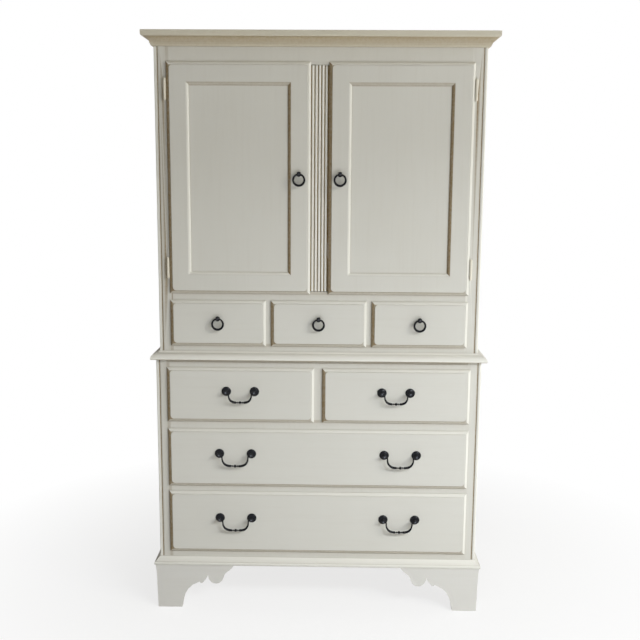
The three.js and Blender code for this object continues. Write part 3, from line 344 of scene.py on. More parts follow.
def make_piece(name, points, faces, material, body, tones=None, smooth=32, mark="glaze_and_shade"):
    """Makes a closed skin into a piece that rides on a body, with each point's glaze and painted light,
    or its painted highlight on iron.
    """
    mesh = bpy.data.meshes.new(name)
    mesh.from_pydata(points, [], faces)
    if tones:
        mesh.attributes.new(mark, "FLOAT", "POINT").data.foreach_set("value", tones)
    shell = bmesh.new()
    shell.from_mesh(mesh)
    bmesh.ops.remove_doubles(shell, verts=shell.verts, dist=merge_gap)
    bmesh.ops.dissolve_degenerate(shell, dist=merge_gap, edges=shell.edges)
    bmesh.ops.recalc_face_normals(shell, faces=shell.faces)
    for face in shell.faces:
        face.smooth = True
    shell.to_mesh(mesh)
    shell.free()
    mesh.set_sharp_from_angle(angle=math.radians(smooth))
    mesh.materials.append(material)
    piece = bpy.data.objects.new(name, mesh)
    scene.collection.objects.link(piece)
    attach(piece, body)
    return piece


def skin(rings, closed=False):
    """Points and faces that join rings of equal length. Unless closed on itself, it has ends."""
    count = len(rings[0])
    points = [point for ring in rings for point in ring]
    faces = []
    turns = len(rings) if closed else len(rings) - 1
    for i in range(turns):
        here = i * count
        there = (i + 1) % len(rings) * count
        for j in range(count):
            k = (j + 1) % count
            faces.append((here + j, here + k, there + k, there + j))
    if not closed:
        faces.append(tuple(range(count))[::-1])
        faces.append(tuple(range((len(rings) - 1) * count, len(rings) * count)))
    return points, faces


def skins(*parts):
    """Several skins as one set of points and faces."""
    points, faces = [], []
    for part_points, part_faces in parts:
        start = len(points)
        points += part_points
        faces += [tuple(start + i for i in face) for face in part_faces]
    return points, faces


def eased_board(x, y, z, ease=0.0006):
    """A board with all its arrises sanded off. x, y and z are spans."""
    rings = []
    for inset, height in ((ease, z[0]), (0, z[0] + ease), (0, z[1] - ease), (ease, z[1])):
        x0, x1 = x[0] + inset, x[1] - inset
        y0, y1 = y[0] + inset, y[1] - inset
        rings.append([
            (x0 + ease, y0, height), (x1 - ease, y0, height), (x1, y0 + ease, height),
            (x1, y1 - ease, height), (x1 - ease, y1, height), (x0 + ease, y1, height),
            (x0, y1 - ease, height), (x0, y0 + ease, height),
        ])
    return skin(rings)


def arc(centre, start, end, steps):
    """Points of a quarter ellipse from centre + start to centre + end."""
    points = []
    for i in range(steps + 1):
        angle = math.pi / 2 * i / steps
        c, s = math.cos(angle), math.sin(angle)
        points.append((centre[0] + c * start[0] + s * end[0], centre[1] + c * start[1] + s * end[1]))
    return points


lip_overlap = 0.0085
lower_low, lower_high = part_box("lower_face_frame")
upper_low, upper_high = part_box("upper_face_frame")
bead_radius = 0.0026
bead_width = 0.0098
quirk_width = 0.0030
quirk_depth = 0.0022
joint_line = 0.00012
# Glaze beside each lip is full on the side where the lip's shadow falls, below it and to its left, and
# this share of it on the lit sides. It is a painted shadow over real glaze in the joint.
lit_side_share = 0.25
glaze_and_shadow_beside_lip = ((0, 0.3), (0.0083, 0.4), (0.0095, 0.24), (0.0125, 0.12))


def quirked_stile(hand, half, face, back, edge):
    """Plan of a stile as (x, y, glaze and painted light), from its back outer corner round to its inner
    edge.
    """
    quirk = [(0.0, quirk_width, 0.4), (0.25, quirk_width * 0.7, 1), (1, quirk_width / 2, 1),
             (0.25, quirk_width * 0.3, 1), (0.0, 0.0, 0.4)]
    plan = [(-half, back, 0.3)]
    plan += [(-half + depth * quirk_depth, face + bead_width + out, g) for depth, out, g in quirk]
    corner = (-half + bead_radius, face + bead_radius)
    # The bead's paint is made lighter than the stile's.
    plan += [(x, y, -1.0) for x, y in arc(corner, (-bead_radius, 0), (0, -bead_radius), 7)]
    plan += [(-half + bead_width + out, face + depth * quirk_depth, g) for depth, out, g in quirk[::-1]]
    plan += [(-half + bead_width + quirk_width + 0.004, face, 0.03)]
    # The left stile gets the full painted shadow beside the lip, and the right one only a share.
    share = 1.0 if hand < 0 else lit_side_share
    plan += [(edge - inset, face, share * g) for inset, g in glaze_and_shadow_beside_lip[::-1]]
    plan += [(edge, back, 0.2)]
    return [(-hand * x, y, g) for x, y, g in plan]


def lipped_board(x, y, z, upright):
    """A board whose long edges lie under lips, and the glaze and painted shadow of each point."""
    across = x if upright else z
    # Beside the lip above a rail and the lip right of a muntin the glaze is full, as painted shadow; on
    # the other edge it is a share.
    stops = [(across[0] + inset, lit_side_share * g) for inset, g in glaze_and_shadow_beside_lip]
    stops += [(across[1] - inset, g) for inset, g in glaze_and_shadow_beside_lip[::-1]]
    rings = []
    for at, _ in stops:
        corners = [(x[0], y[0]), (x[1], y[0]), (x[1], y[1]), (x[0], y[1])]
        if upright:
            corners = [(z[0], y[0]), (z[1], y[0]), (z[1], y[1]), (z[0], y[1])]
        rings.append([(at, b, a) if upright else (a, b, at) for a, b in corners])
    return skin(rings), [g for _, g in stops for _ in range(4)]


def face_frame(name, body, half, face, back, heights, edge, rails, muntins):
    """Two beaded stiles, rails between them and muntins between rails, in one piece."""
    parts, glaze_and_shade = [], []
    for hand in (-1, 1):
        plan = quirked_stile(hand, half, face, back, -edge)
        rings = [[(x, y, z) for x, y, _ in plan] for z in heights]
        parts.append(skin(rings))
        glaze_and_shade += [g for _, _, g in plan] * 2
    boards = [((-edge, edge), rail, False) for rail in rails] + [(*gap, True) for gap in muntins]
    for x, z, upright in boards:
        inner_x = (x[0] + joint_line, x[1] - joint_line)
        inner_z = (z[0] + joint_line, z[1] - joint_line)
        board, tones = lipped_board(inner_x, (face, back), inner_z, upright)
        parts.append(board)
        glaze_and_shade += tones
    points, faces = skins(*parts)
    piece = make_piece(name + "_boards", points, faces, upright_paint, body, glaze_and_shade)
    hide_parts(name)


def opening(front):
    """Spans of the opening behind a lipped front."""
    low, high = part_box(front)
    return (low.x + lip_overlap, high.x - lip_overlap), (low.z + lip_overlap, high.z - lip_overlap)


wide_x, bottom_z = opening("bottom_drawer_front")
_, middle_z = opening("middle_drawer_front")
half_x, half_z = opening("right_half_drawer_front")
face_frame(
    "lower_face_frame", "case", lower_high.x, lower_low.y, lower_high.y, (lower_low.z, lower_high.z),
    wide_x[1],
    [(lower_low.z, bottom_z[0]), (bottom_z[1], middle_z[0]), (middle_z[1], half_z[0]),
     (half_z[1], lower_high.z)],
    [((-half_x[0], half_x[0]), half_z)],
)
small_x, small_z = opening("small_right_drawer_front")
centre_x, _ = opening("small_centre_drawer_front")
door_x, door_z = opening("right_door_frame")
face_frame(
    "upper_face_frame", "case", upper_high.x, upper_low.y, upper_high.y, (upper_low.z, upper_high.z),
    door_x[1],
    [(upper_low.z, small_z[0]), (small_z[1], door_z[0]), (door_z[1], upper_high.z)],
    [((-small_x[0], -centre_x[1]), small_z), ((centre_x[1], small_x[0]), small_z)],
)


# Mouldings
# The base, the waist and the cornice are run along the front and both sides, mitred at the front
# corners and cut off flush at the back. Glaze lies in their coves, warmest on the cornice. It is
# heavier on their undersides and on faces turned down, as painted shade, and their noses and upward
# slopes are made lighter than the paint, as painted highlight.
def run_moulding(name, node, half, face, section, core=None, paint=level_paint):
    """Sweeps a closed section of (out, height, glaze and painted light) round three sides of the case.
    """
    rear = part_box(node)[1].y
    rings = []
    for x_hand, at_front in ((-1, False), (-1, True), (1, True), (1, False)):
        rings.append([
            (x_hand * (half + out), face - out if at_front else rear, height)
            for out, height, _ in section
        ])
    parts = [skin(rings)]
    glaze_and_shade = [g for _, _, g in section] * 4
    if core:
        parts.append(core)
        glaze_and_shade += [0.0] * len(core[0])
    points, faces = skins(*parts)
    piece = make_piece(name, points, faces, paint, "case", glaze_and_shade)
    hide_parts(node)


case_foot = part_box("base_moulding")[0].z
shoulder_top = case_foot + 0.012
# Full glaze under the base moulding is painted shade; the tones below zero on its nose and slope are
# painted highlight.
base_section = [(0, case_foot, 0), (0.012, case_foot, 1.0), (0.0138, case_foot + 0.0002, 0.8)]
base_section += [(o, h, -0.2) for o, h in arc((0.0145, case_foot + 0.005), (0, -0.005), (0.004, 0), 6)]
base_section += [(o, h, -0.7) for o, h in arc((0.016, case_foot + 0.0075), (0.0025, 0), (0, 0.0045), 5)]
base_section += [(0.0152, shoulder_top, 0.4), (0.0150, shoulder_top + 0.0003, 0.3)]
for step in range(9):
    climb = step / 8
    sag = 0.0015 * 4 * climb * (1 - climb)
    tone = -0.2 if step == 0 else (0.5 if step == 8 else -0.7)
    base_section.append((0.0150 * (1 - climb), shoulder_top + 0.016 * climb - sag, tone))
run_moulding("base_moulding_run", "base_moulding", lower_high.x, lower_low.y, base_section)

waist_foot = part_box("waist_top")[0].z
seat_height = upper_low.z
rim_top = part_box("waist_top")[1].z
moulding_lap = 0.03
# The glaze under the nose is a painted shadow; the tones below zero on the nose, shoulder and rim are
# painted highlight.
waist_section = [(-moulding_lap, waist_foot, 0), (0.012, waist_foot, 0.9), (0.0245, waist_foot, 1)]
nose = arc((0.026, waist_foot + 0.003), (0, -0.003), (0.003, 0), 6)
waist_section += [(o, h, 0.9 if h < waist_foot + 0.0016 else -0.6) for o, h in nose]
waist_section += [(o, h, -0.8) for o, h in arc((0.007, waist_foot + 0.004), (0.022, 0), (0, 0.018), 14)]
waist_section += [(0.0064, seat_height + 0.0005, -0.8), (0.0052, seat_height + 0.0022, -0.9)]
waist_section += [(0.0034, rim_top - 0.0012, -0.9), (0.0020, rim_top, -0.5)]
waist_section += [(0.00025, rim_top, -0.3), (0.00025, seat_height, 0), (-moulding_lap, seat_height, 0)]
board_half = upper_high.x - moulding_lap
waist_board = eased_board((-board_half, board_half),
                          (upper_low.y + moulding_lap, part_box("waist_top")[1].y),
                          (waist_foot, seat_height))
run_moulding("waist_moulding_run", "waist_top", upper_high.x, upper_low.y, waist_section, waist_board)

cornice_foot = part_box("cornice")[0].z
cornice_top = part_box("cornice")[1].z
# The glaze grows up the cove and under the ovolo, where the faces turn down: painted shade over real
# glaze in the hollows.
cornice_section = [(0, cornice_foot, 0.6)]
foot_bead = arc((0.003, cornice_foot + 0.009), (0, -0.009), (0.006, 0), 7)
cornice_section += [(o, h, 0.32) for o, h in foot_bead]
cornice_section += [(0.0091, cornice_foot + 0.0088, 0.9), (0.0108, cornice_foot + 0.009, 0.6),
                    (0.011, cornice_foot + 0.0094, 0.2), (0.011, cornice_foot + 0.0108, 0.3)]
cove = arc((0.027, cornice_foot + 0.011), (-0.016, 0), (0, 0.017), 10)
cornice_section += [(o, h, 0.42 + 0.025 * step) for step, (o, h) in enumerate(cove)]
cornice_section += [(0.0273, cornice_foot + 0.0281, 0.8), (0.0288, cornice_foot + 0.0282, 0.4)]
ovolo = arc((0.029, cornice_foot + 0.035), (0, -0.0068), (0.006, 0), 7)
cornice_section += [(o, h, 0.27 - 0.02 * step) for step, (o, h) in enumerate(ovolo)]
cornice_section += [(0.035, cornice_top - 0.0008, 0.08), (0.0342, cornice_top, 0.0)]
cornice_section += [(-0.02, cornice_top, 0.1), (-0.02, upper_high.z, 0.1), (0, upper_high.z, 0)]
cornice_paint = painted("cream_paint_cornice", (0.05, 1, 1), paint=(0.715, 0.685, 0.590, 1),
                        glaze_and_shade=(0.275, 0.158, 0.020, 1))
run_moulding("cornice_run", "cornice", upper_high.x, upper_low.y, cornice_section, paint=cornice_paint)

# Drawer fronts
# Each front is one board with a lip that covers its opening: a rounded edge, a narrow sunk band and a
# raised field with rounded corners. Glaze on the left and lower parts of the edge is painted shade, and
# on the upper and right parts the paint is made lighter, as painted highlight.
seat_gap = 0.00025
lip_edge = 0.0024
ovolo_in = 0.0078
ovolo_out = 0.0062
band_width = 0.0105
field_out = 0.01025
field_corner = 0.011
tongue_play = 0.0015
tongue_depth = 0.010
corner_steps = 6
least_corner = 0.0004


def rectangle_ring(x, z, y, radius=0.0):
    """A turn round an upright rectangle in the plane y, with rounded corners."""
    radius = max(radius, least_corner)
    corners = (
        (x[1] - radius, z[0] + radius, -90), (x[1] - radius, z[1] - radius, 0),
        (x[0] + radius, z[1] - radius, 90), (x[0] + radius, z[0] + radius, 180),
    )
    ring = []
    for cx, cz, start in corners:
        for step in range(corner_steps + 1):
            angle = math.radians(start + 90 * step / corner_steps)
            ring.append((cx + radius * math.cos(angle), y, cz + radius * math.sin(angle)))
    return ring


def lip_course():
    """The edge as (inset, out, corner radius, tone above and right, tone on the left): painted
    highlight where below zero, and glaze with painted shade on the left.
    """
    band_out = seat_gap + lip_edge + ovolo_out
    course = [(0.0006, seat_gap, 0, 0.0, 1.0), (0, seat_gap + 0.0006, 0, -0.3, 1.0)]
    for inset, out in arc((ovolo_in, seat_gap + lip_edge), (-ovolo_in, 0), (0, ovolo_out), 8):
        chord = seat_gap + lip_edge + ovolo_out * inset / ovolo_in
        course.append((inset, 0.5 * (out + chord), 0, -0.5, 0.85))
    course += [
        (band_width - 0.0014, band_out - 0.0012, field_corner + 0.0012, 0.05, 0.8),
        (band_width - 0.0005, band_out - 0.0012, field_corner + 0.0005, 0.1, 0.8),
        (band_width, field_out - 0.0006, field_corner, 0.0, 0.5),
        (band_width + 0.0006, field_out, field_corner - 0.0005, 0, 0.02),
        (band_width + 0.0022, field_out, field_corner - 0.002, 0, 0),
        (band_width + 0.009, field_out, field_corner - 0.009, 0, 0),
    ]
    return course


def shrink(span, by):
    return (span[0] + by, span[1] - by)


def course_glaze_and_shade(course, before=0, inward=False):
    """Glaze and painted shade for each point of the rings that a course makes, after some rings of bare
    wood.

    The shaded tone is given in full on faces turned left and two thirds of it on faces turned down, or
    the other way round inward, as painted shade from lamps on the right and above.
    """
    sides = []
    for start in (-90, 0, 90, 180):
        for step in range(corner_steps + 1):
            angle = math.radians(start + 90 * step / corner_steps)
            turn = -1 if inward else 1
            away = max(-turn * math.cos(angle), 0) + 0.66 * max(-turn * math.sin(angle), 0)
            sides.append(min(away, 1.0))
    glaze_and_shade = [0.3] * (before * len(sides))
    for _, _, _, paler, shaded_tone in course:
        glaze_and_shade += [paler + (shaded_tone - paler) * shade for shade in sides]
    return glaze_and_shade


def drawer_front(drawer, face):
    node = drawer + "_front"
    low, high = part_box(node)
    x, z = (low.x, high.x), (low.z, high.z)
    tongue = lip_overlap + tongue_play
    rings = [
        rectangle_ring(shrink(x, tongue), shrink(z, tongue), face + tongue_depth),
        rectangle_ring(shrink(x, tongue), shrink(z, tongue), face - seat_gap),
    ]
    course = lip_course()
    for inset, out, radius, _, _ in course:
        rings.append(rectangle_ring(shrink(x, inset), shrink(z, inset), face - out, radius))
    points, faces = skin(rings)
    piece = make_piece(node + "_board", points, faces, level_paint, drawer,
                       course_glaze_and_shade(course, before=2))
    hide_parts(node)


lower_drawers = ("bottom_drawer", "middle_drawer", "left_half_drawer", "right_half_drawer")
small_drawers = ("small_left_drawer", "small_centre_drawer", "small_right_drawer")
for drawer in lower_drawers:
    drawer_front(drawer, lower_low.y)
for drawer in small_drawers:
    drawer_front(drawer, upper_low.y)

# Drawer boxes
# Sides, back and bottom of pale secondary wood, sanded and sealed inside and out.
drawer_wood = wooden("drawer_wood", (0.62, 0.46, 0.285, 1), (0.50, 0.34, 0.19, 1), (1, 0.06, 1))
dress([drawer + "_box" for drawer in lower_drawers + small_drawers], drawer_wood)


# Bail pulls
# Cast iron with a black waxed skin: two rosettes with a boss each, screwed to the front, and a forged
# bail that hooks into the inner sides of the bosses. The grey on the tips of the bosses and knobs is a
# painted highlight.
def black_iron():
    material = new_material("black_iron")
    tree = material.node_tree
    coordinates = place(tree, "TexCoord", {}).outputs["Object"]
    hammered = place(tree, "TexNoise", {"Vector": coordinates, "Scale": 300.0, "Detail": 3.0})
    fine = place(tree, "TexNoise", {"Vector": coordinates, "Scale": 1400.0, "Detail": 3.0})
    skin_colour = blend_colours(tree, ramp(tree, fine.outputs[0], 0.35, 0.7),
                                (0.0025, 0.0030, 0.0055, 1), (0.006, 0.0068, 0.0105, 1))
    # The tips of bosses and knobs are made grey-blue: a painted highlight.
    highlight_mark = place(tree, "Attribute", {}, attribute_name="tip_highlight").outputs["Fac"]
    highlight_break = ramp(tree, hammered.outputs[0], 0.35, 0.6, 0.6, 1)
    painted_highlight = place(tree, "Math", {0: highlight_mark, 1: highlight_break}, operation="MULTIPLY", use_clamp=True)
    skin_colour = blend_colours(tree, painted_highlight.outputs[0], skin_colour, (0.20, 0.215, 0.25, 1))
    relief = place(tree, "Math", {0: fine.outputs[0], 1: 0.3, 2: hammered.outputs[0]},
                   operation="MULTIPLY_ADD")
    bump = place(tree, "Bump", {"Height": relief.outputs[0], "Strength": 0.05, "Distance": 0.0004})
    surface = place(tree, "BsdfPrincipled", {
        "Base Color": skin_colour, "Roughness": ramp(tree, fine.outputs[0], 0.3, 0.7, 0.17, 0.27),
        "Normal": bump.outputs[0], "Specular IOR Level": 0.2,
    })
    place(tree, "OutputMaterial", {"Surface": surface.outputs[0]})
    return material


iron = black_iron()
round_sides = 32
tip_radius = 0.00001


def turned(profile, axis):
    """A turned skin of (distance, radius) points, closed on its axis at both ends."""
    rings = []
    for distance, radius in profile:
        reach = max(radius, tip_radius)
        ring = []
        for i in range(round_sides):
            angle = 2 * math.pi * i / round_sides
            a, b = reach * math.cos(angle), reach * math.sin(angle)
            ring.append({"x": (distance, a, b), "y": (a, -distance, b)}[axis])
        rings.append(ring)
    return skin(rings)


def moved_skin(part, by):
    points, faces = part
    return [(x + by[0], y + by[1], z + by[2]) for x, y, z in points], faces


boss_reach = 0.017
boss_radius = 0.006
boss_front = boss_reach + 0.00775
cap_radius = 0.0095
cap_sweep = 0.60
rosette_radius = 0.016
bail_pin = 0.0022
drill_play = 0.0003
highlight_depth = 0.004
highlight_radius = 0.0042


def tip_highlight_share(distance, radius, front):
    """How much painted highlight lies at a point of a turned boss or knob."""
    if distance < front - highlight_depth:
        return 0.0
    return max(0.0, 1.0 - radius / highlight_radius)


def bail_post(name, body, pivot, node, hand):
    """A rosette and a boss on the field of a drawer front, with a blind hole for the bail."""
    profile = [(-0.0005, 0), (-0.0005, rosette_radius), (0.0006, rosette_radius), (0.0013, 0.0157)]
    profile += [(0.0021, 0.0148), (0.0027, 0.0138), (0.0034, 0.0124), (0.0043, 0.0104),
                (0.0051, 0.0086), (0.0056, 0.0072), (0.0058, 0.0062), (0.0059, 0.0056),
                (0.0066, 0.0050), (0.0078, 0.0043)]
    profile += [(0.0094, 0.0050), (0.0114, 0.0057), (0.0140, boss_radius), (0.0200, boss_radius),
                (0.0222, 0.0058)]
    profile += [(boss_front - cap_radius * (1 - math.cos(a)), cap_radius * math.sin(a))
                for a in [cap_sweep * (1 - i / 8) for i in range(9)]]
    points, faces = turned(profile, "y")
    field = pivot.y + boss_reach
    points = [(x + pivot.x, y + field, z + pivot.z) for x, y, z in points]
    tip_highlight = [tip_highlight_share(distance, radius, boss_front) for distance, radius in profile
            for _ in range(round_sides)]
    piece = make_piece(name, points, faces, iron, body, tip_highlight, 50, "tip_highlight")
    hole = bail_pin + drill_play
    drill, drill_faces = turned([(0.001, 0), (0.001, hole), (0.012, hole), (0.012, 0)], "x")
    drill = [(pivot.x - hand * x, pivot.y + y, pivot.z + z) for x, y, z in drill]
    bore(piece, drill, drill_faces)
    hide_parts(node)


def bore(piece, points, faces):
    """Cuts a closed skin out of a piece."""
    cutter_mesh = bpy.data.meshes.new("cutter")
    cutter_mesh.from_pydata(points, [], faces)
    shell = bmesh.new()
    shell.from_mesh(cutter_mesh)
    bmesh.ops.remove_doubles(shell, verts=shell.verts, dist=merge_gap)
    bmesh.ops.recalc_face_normals(shell, faces=shell.faces)
    shell.to_mesh(cutter_mesh)
    shell.free()
    cutter = bpy.data.objects.new("cutter", cutter_mesh)
    scene.collection.objects.link(cutter)
    cut = piece.modifiers.new("bore", "BOOLEAN")
    cut.object = cutter
    cut.operation = "DIFFERENCE"
    cut.solver = "EXACT"
    ready = piece.evaluated_get(bpy.context.evaluated_depsgraph_get())
    mesh = bpy.data.meshes.new_from_object(ready)
    piece.modifiers.clear()
    old = piece.data
    piece.data = mesh
    mesh.name = old.name + "_bored"
    bpy.data.objects.remove(cutter)


def smooth_route(points, steps):
    """A curve through (x, z, radius) points, with a few steps between each two."""
    route = []
    last = len(points) - 1
    for i in range(last):
        a, b, c, d = (points[max(i - 1, 0)], points[i], points[i + 1], points[min(i + 2, last)])
        for step in range(steps):
            t = step / steps
            route.append(tuple(
                0.5 * (2 * q + (r - p) * t + (2 * p - 5 * q + 4 * r - s) * t * t
                       + (3 * q - p - 3 * r + s) * t ** 3)
                for p, q, r, s in zip(a, b, c, d)))
    route.append(points[-1])
    return route


def forged_bar(route, sides=16, closed=False):
    """A round bar along (x, z, radius) points in an upright plane."""
    rings = []
    count = len(route)
    for i, (x, z, radius) in enumerate(route):
        before = route[i - 1] if closed or i else route[0]
        after = route[(i + 1) % count] if closed or i < count - 1 else route[-1]
        along = Vector((after[0] - before[0], after[1] - before[1])).normalized()
        rings.append([
            (x - along.y * radius * math.cos(a), radius * math.sin(a),
             z + along.x * radius * math.cos(a))
            for a in [2 * math.pi * k / sides for k in range(sides)]
        ])
    return skin(rings, closed)


bar_end_inset = 0.0015
hook_radius = 0.0019
elbow_inset = 0.0093
bail_curve = (
    (0.19, 0.15, 0.0022), (0.20, 0.40, 0.0026), (0.24, 0.61, 0.0031), (0.34, 0.82, 0.0037),
    (0.48, 0.94, 0.0040), (0.62, 0.99, 0.0040),
)
bail_middle = (
    (0.0150, 0.0040), (0.0132, 0.0040), (0.0126, 0.0038), (0.0118, 0.0030), (0.0112, 0.0015),
    (0.0098, 0.0015), (0.0092, 0.0032), (0.0080, 0.0040), (0.0070, 0.0032), (0.0064, 0.0015),
    (0.0049, 0.0015), (0.0043, 0.0029), (0.0032, 0.0042), (0.0016, 0.0047), (0, 0.0048),
)


def bail(name, body, pivot, half_span, drop):
    """A hanging bail with hooked ends, thickest low down, with a beaded middle."""
    elbow = half_span - elbow_inset
    arm = [(half_span - bar_end_inset, 0, hook_radius), (half_span - 0.005, 0, hook_radius),
           (elbow + 0.0012, -0.0003, hook_radius), (elbow - 0.0003, -0.0022, hook_radius)]
    arm += [(half_span * (1 - across), -drop * down, radius) for across, down, radius in bail_curve]
    arm = smooth_route(arm + [(bail_middle[0][0], -drop, bail_middle[0][1])], 5)
    arm += [(x, -drop, radius) for x, radius in bail_middle[1:]]
    other = [(-x, z, radius) for x, z, radius in arm[::-1]][1:]
    points, faces = moved_skin(forged_bar(arm + other), pivot)
    piece = make_piece(name + "_iron", points, faces, iron, body, smooth=60)
    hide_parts(name)


joints = {joint["name"]: joint for joint in frame["joints"]}
for hinge, node, drop in (
    ("left_half_bail_hinge", "left_half_drawer_bail", 0.034),
    ("right_half_bail_hinge", "right_half_drawer_bail", 0.034),
    ("middle_left_bail_hinge", "middle_drawer_left_bail", 0.0385),
    ("middle_right_bail_hinge", "middle_drawer_right_bail", 0.0385),
    ("bottom_left_bail_hinge", "bottom_drawer_left_bail", 0.0385),
    ("bottom_right_bail_hinge", "bottom_drawer_right_bail", 0.0385),
):
    joint = joints[hinge]
    pivot = Vector(joint["pos_m"])
    low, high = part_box(node)
    half_span = (high.x - low.x) / 2 + bar_end_inset
    bail(node, joint["child"], pivot, half_span, drop)
    for side, hand in (("left", -1), ("right", 1)):
        at = pivot + Vector((hand * half_span, 0, 0))
        bail_post(f"{node}_{side}_post", joint["parent"], at, joint["parent"] + "_front", hand)


# Ring pulls
# A forged ring hangs through a pierced iron knob that is screwed to the front.
ring_radius = 0.0180
ring_bar = 0.0030
ring_swell = 0.0009
knob_reach = 0.013
knob_radius = 0.0085
knob_half = 0.007
knob_hole = 0.0051
# The knob's tip gets a weaker painted highlight than a boss.
knob_highlight_share = 0.35
neck_share = 0.5


def ring_pull(name, ring_body, front_body, front_node, pivot):
    route = []
    for i in range(48):
        angle = 2 * math.pi * i / 48
        drop = ring_radius * (1 - math.cos(angle))
        bar = ring_bar + ring_swell * (1 - math.cos(angle)) / 2
        route.append((ring_radius * math.sin(angle), -drop, bar))
    points, faces = moved_skin(forged_bar(route, closed=True), pivot)
    ring = make_piece(name + "_iron", points, faces, iron, ring_body, smooth=60)
    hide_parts(name)
    profile = [(-0.0005, 0), (-0.0005, 0.0062), (0.0010, 0.0062), (0.0018, 0.0056), (0.0022, 0.0046),
               (0.0036, 0.0037)]
    start = math.asin(neck_share)
    profile += [(knob_reach - knob_half * math.cos(a), knob_radius * math.sin(a))
                for a in [start + (math.pi - start) * i / 14 for i in range(15)]]
    points, faces = turned(profile, "y")
    field = pivot.y + knob_reach
    points, faces = moved_skin((points, faces), (pivot.x, field, pivot.z))
    tip_highlight = [knob_highlight_share * tip_highlight_share(distance, radius, knob_reach + knob_half)
            for distance, radius in profile for _ in range(round_sides)]
    knob = make_piece(name + "_knob", points, faces, iron, front_body, tip_highlight, 50, "tip_highlight")
    drill = turned([(-0.012, 0), (-0.012, knob_hole), (0.012, knob_hole), (0.012, 0)], "x")
    bore(knob, *moved_skin(drill, pivot))
    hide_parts(front_node)


for hinge, node, front_node in (
    ("left_door_ring_hinge", "left_door_ring", "left_door_frame"),
    ("right_door_ring_hinge", "right_door_ring", "right_door_frame"),
    ("small_left_ring_hinge", "small_left_drawer_ring", "small_left_drawer_front"),
    ("small_centre_ring_hinge", "small_centre_drawer_ring", "small_centre_drawer_front"),
    ("small_right_ring_hinge", "small_right_drawer_ring", "small_right_drawer_front"),
):
    joint = joints[hinge]
    ring_pull(node, joint["child"], joint["parent"], front_node, Vector(joint["pos_m"]))

# Doors
# A lipped frame of two stiles and two rails with an ovolo stuck on its inner edges holds a loose
# flat panel in a groove. The joints are filled and painted over, so that none shows.
member_width = 0.064
sticking_width = 0.008
sticking_depth = 0.0065
sticking_quirk = 0.001
panel_groove = 0.008


def door(side, hand):
    node = f"{side}_door_frame"
    body = f"{side}_door"
    face = upper_low.y
    low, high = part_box(node)
    x, z = (low.x, high.x), (low.z, high.z)
    tongue = lip_overlap + tongue_play
    at_meeting = (0, tongue) if hand > 0 else (tongue, 0)
    tongue_x = (x[0] + at_meeting[0], x[1] - at_meeting[1])
    rings = [
        rectangle_ring(tongue_x, shrink(z, tongue), face + tongue_depth),
        rectangle_ring(tongue_x, shrink(z, tongue), face - seat_gap),
    ]
    course = lip_course()
    for inset, out, radius, _, _ in course:
        rings.append(rectangle_ring(shrink(x, inset), shrink(z, inset), face - out, radius))
    floor_out = field_out - sticking_depth
    # The sticking that faces left or down gets painted shade, and the sticking that faces right or up
    # gets painted highlight.
    inner = [
        (member_width - 0.004, field_out, 0, 0, 0), (member_width - 0.0005, field_out, 0, 0, 0.1),
        (member_width, field_out - 0.0005, 0, 0.05, 0.8),
        (member_width, field_out - sticking_quirk, 0, 0.12, 1.0),
    ]
    ovolo_rise = sticking_depth - sticking_quirk
    for inset, out in arc((member_width, floor_out), (0, ovolo_rise), (sticking_width, 0), 8):
        inner.append((inset, out, 0, -0.5, 0.85))
    inner += [(member_width + sticking_width, floor_out - 0.0004, 0, 0.25, 1.0),
              (member_width + sticking_width, -tongue_depth, 0, 0.3, 0.3)]
    for inset, out, radius, _, _ in inner:
        rings.append(rectangle_ring(shrink(x, inset), shrink(z, inset), face - out, radius))
    glaze_and_shade = course_glaze_and_shade(course, before=2) + course_glaze_and_shade(inner, inward=True)
    points, faces = skin(rings, closed=True)
    frame_piece = make_piece(node + "_boards", points, faces, upright_paint, body, glaze_and_shade)
    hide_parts(node)

    panel_node = f"{side}_door_panel"
    low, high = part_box(panel_node)
    x, z = (low.x, high.x), (low.z, high.z)
    edge = panel_groove
    # Glaze in the panel's groove is heavier at its right and top edges, as painted shade over real
    # glaze.
    course = [(0, high.y, 0, 0.2, 0.2), (0, low.y, 0, 0.8, 0.8), (edge, low.y, 0, 0.25, 0.85),
              (edge + 0.0010, low.y, 0, 0.12, 0.7), (edge + 0.0030, low.y, 0, 0.04, 0.12),
              (edge + 0.0060, low.y, 0, 0, 0)]
    rings = [rectangle_ring(shrink(x, inset), shrink(z, inset), y, radius)
             for inset, y, radius, _, _ in course]
    points, faces = skin(rings)
    panel = make_piece(panel_node + "_board", points, faces, upright_paint, body,
                       course_glaze_and_shade(course, inward=True))
    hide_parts(panel_node)


door("left", -1)
door("right", 1)

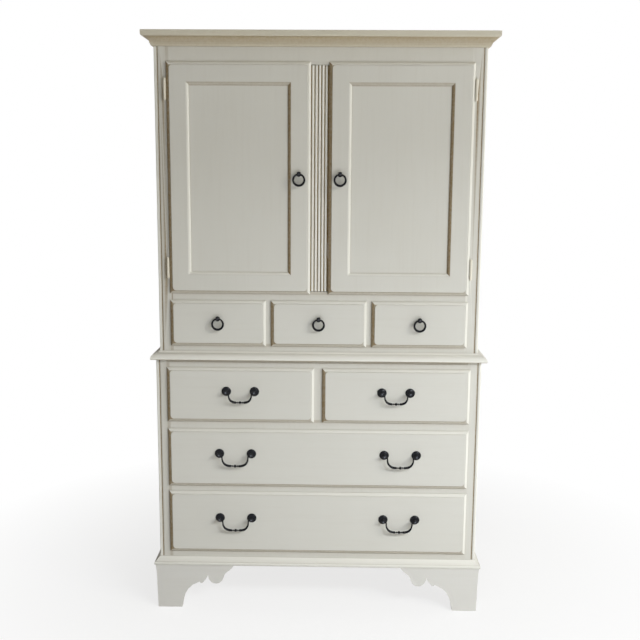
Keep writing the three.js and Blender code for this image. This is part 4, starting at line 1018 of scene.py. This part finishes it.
# Reeded strip
# It fills the space between the doors and is glued along the edge of the left one, a hair's width short
# of the right one: five round reeds with dark glaze between them, and paint made lighter on their
# crests, as painted highlight.
reed_count = 5
reed_margin = 0.0015
reed_rise = 0.003
flute_width = 0.0024
strip_reach = 0.0010
strip_low, strip_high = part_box("fluted_strip")
valley = strip_low.y + reed_rise
pitch = (strip_high.x - strip_low.x - 2 * reed_margin) / reed_count
reed_half = (pitch - flute_width) / 2
plan = [(strip_low.x, strip_high.y, 0.3), (strip_low.x, valley, 1.0)]
for i in range(reed_count):
    centre = strip_low.x + reed_margin + pitch * (i + 0.5)
    rise = arc((centre, valley), (-reed_half, 0), (0, -reed_rise), 6)
    fall = arc((centre, valley), (0, -reed_rise), (reed_half, 0), 6)[1:]
    for x, y in rise + fall:
        height = (valley - y) / reed_rise
        # Crests get tones below zero: a painted highlight.
        plan.append((x, y, 1.0 - 1.9 * height))
    plan.append((centre + reed_half + flute_width / 2, valley + 0.0002, 1.0))
plan += [(strip_high.x + strip_reach, valley, 1.0), (strip_high.x + strip_reach, strip_high.y, 0.3)]
rings = [[(x, y, z) for x, y, _ in plan] for z in (strip_low.z, strip_high.z)]
points, faces = skin(rings)
strip = make_piece("reeded_strip", points, faces, upright_paint, "left_door",
                   [glaze_and_shade for _, _, glaze_and_shade in plan] * 2)
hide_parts("fluted_strip")

# Hinges
# Small butt hinges, painted over with the case: a leaf let into the stile and one into the door,
# three knuckles on a pin with a button at each end.
hinge_metal = painted("hinge_paint", (1, 1, 1), paint=(0.78, 0.74, 0.64, 1))
for side in ("left", "right"):
    stiles = {"frame_leaf": "upper_face_frame_boards", "door_leaf": f"{side}_door_frame_boards"}
    for level in ("upper", "lower"):
        for leaf, board in stiles.items():
            node = f"{side}_{level}_hinge_{leaf}"
            dress([node], hinge_metal)
            leaf_mesh = nodes[node].data
            bore(bpy.data.objects[board], [tuple(vertex.co) for vertex in leaf_mesh.vertices],
                 [tuple(polygon.vertices) for polygon in leaf_mesh.polygons])
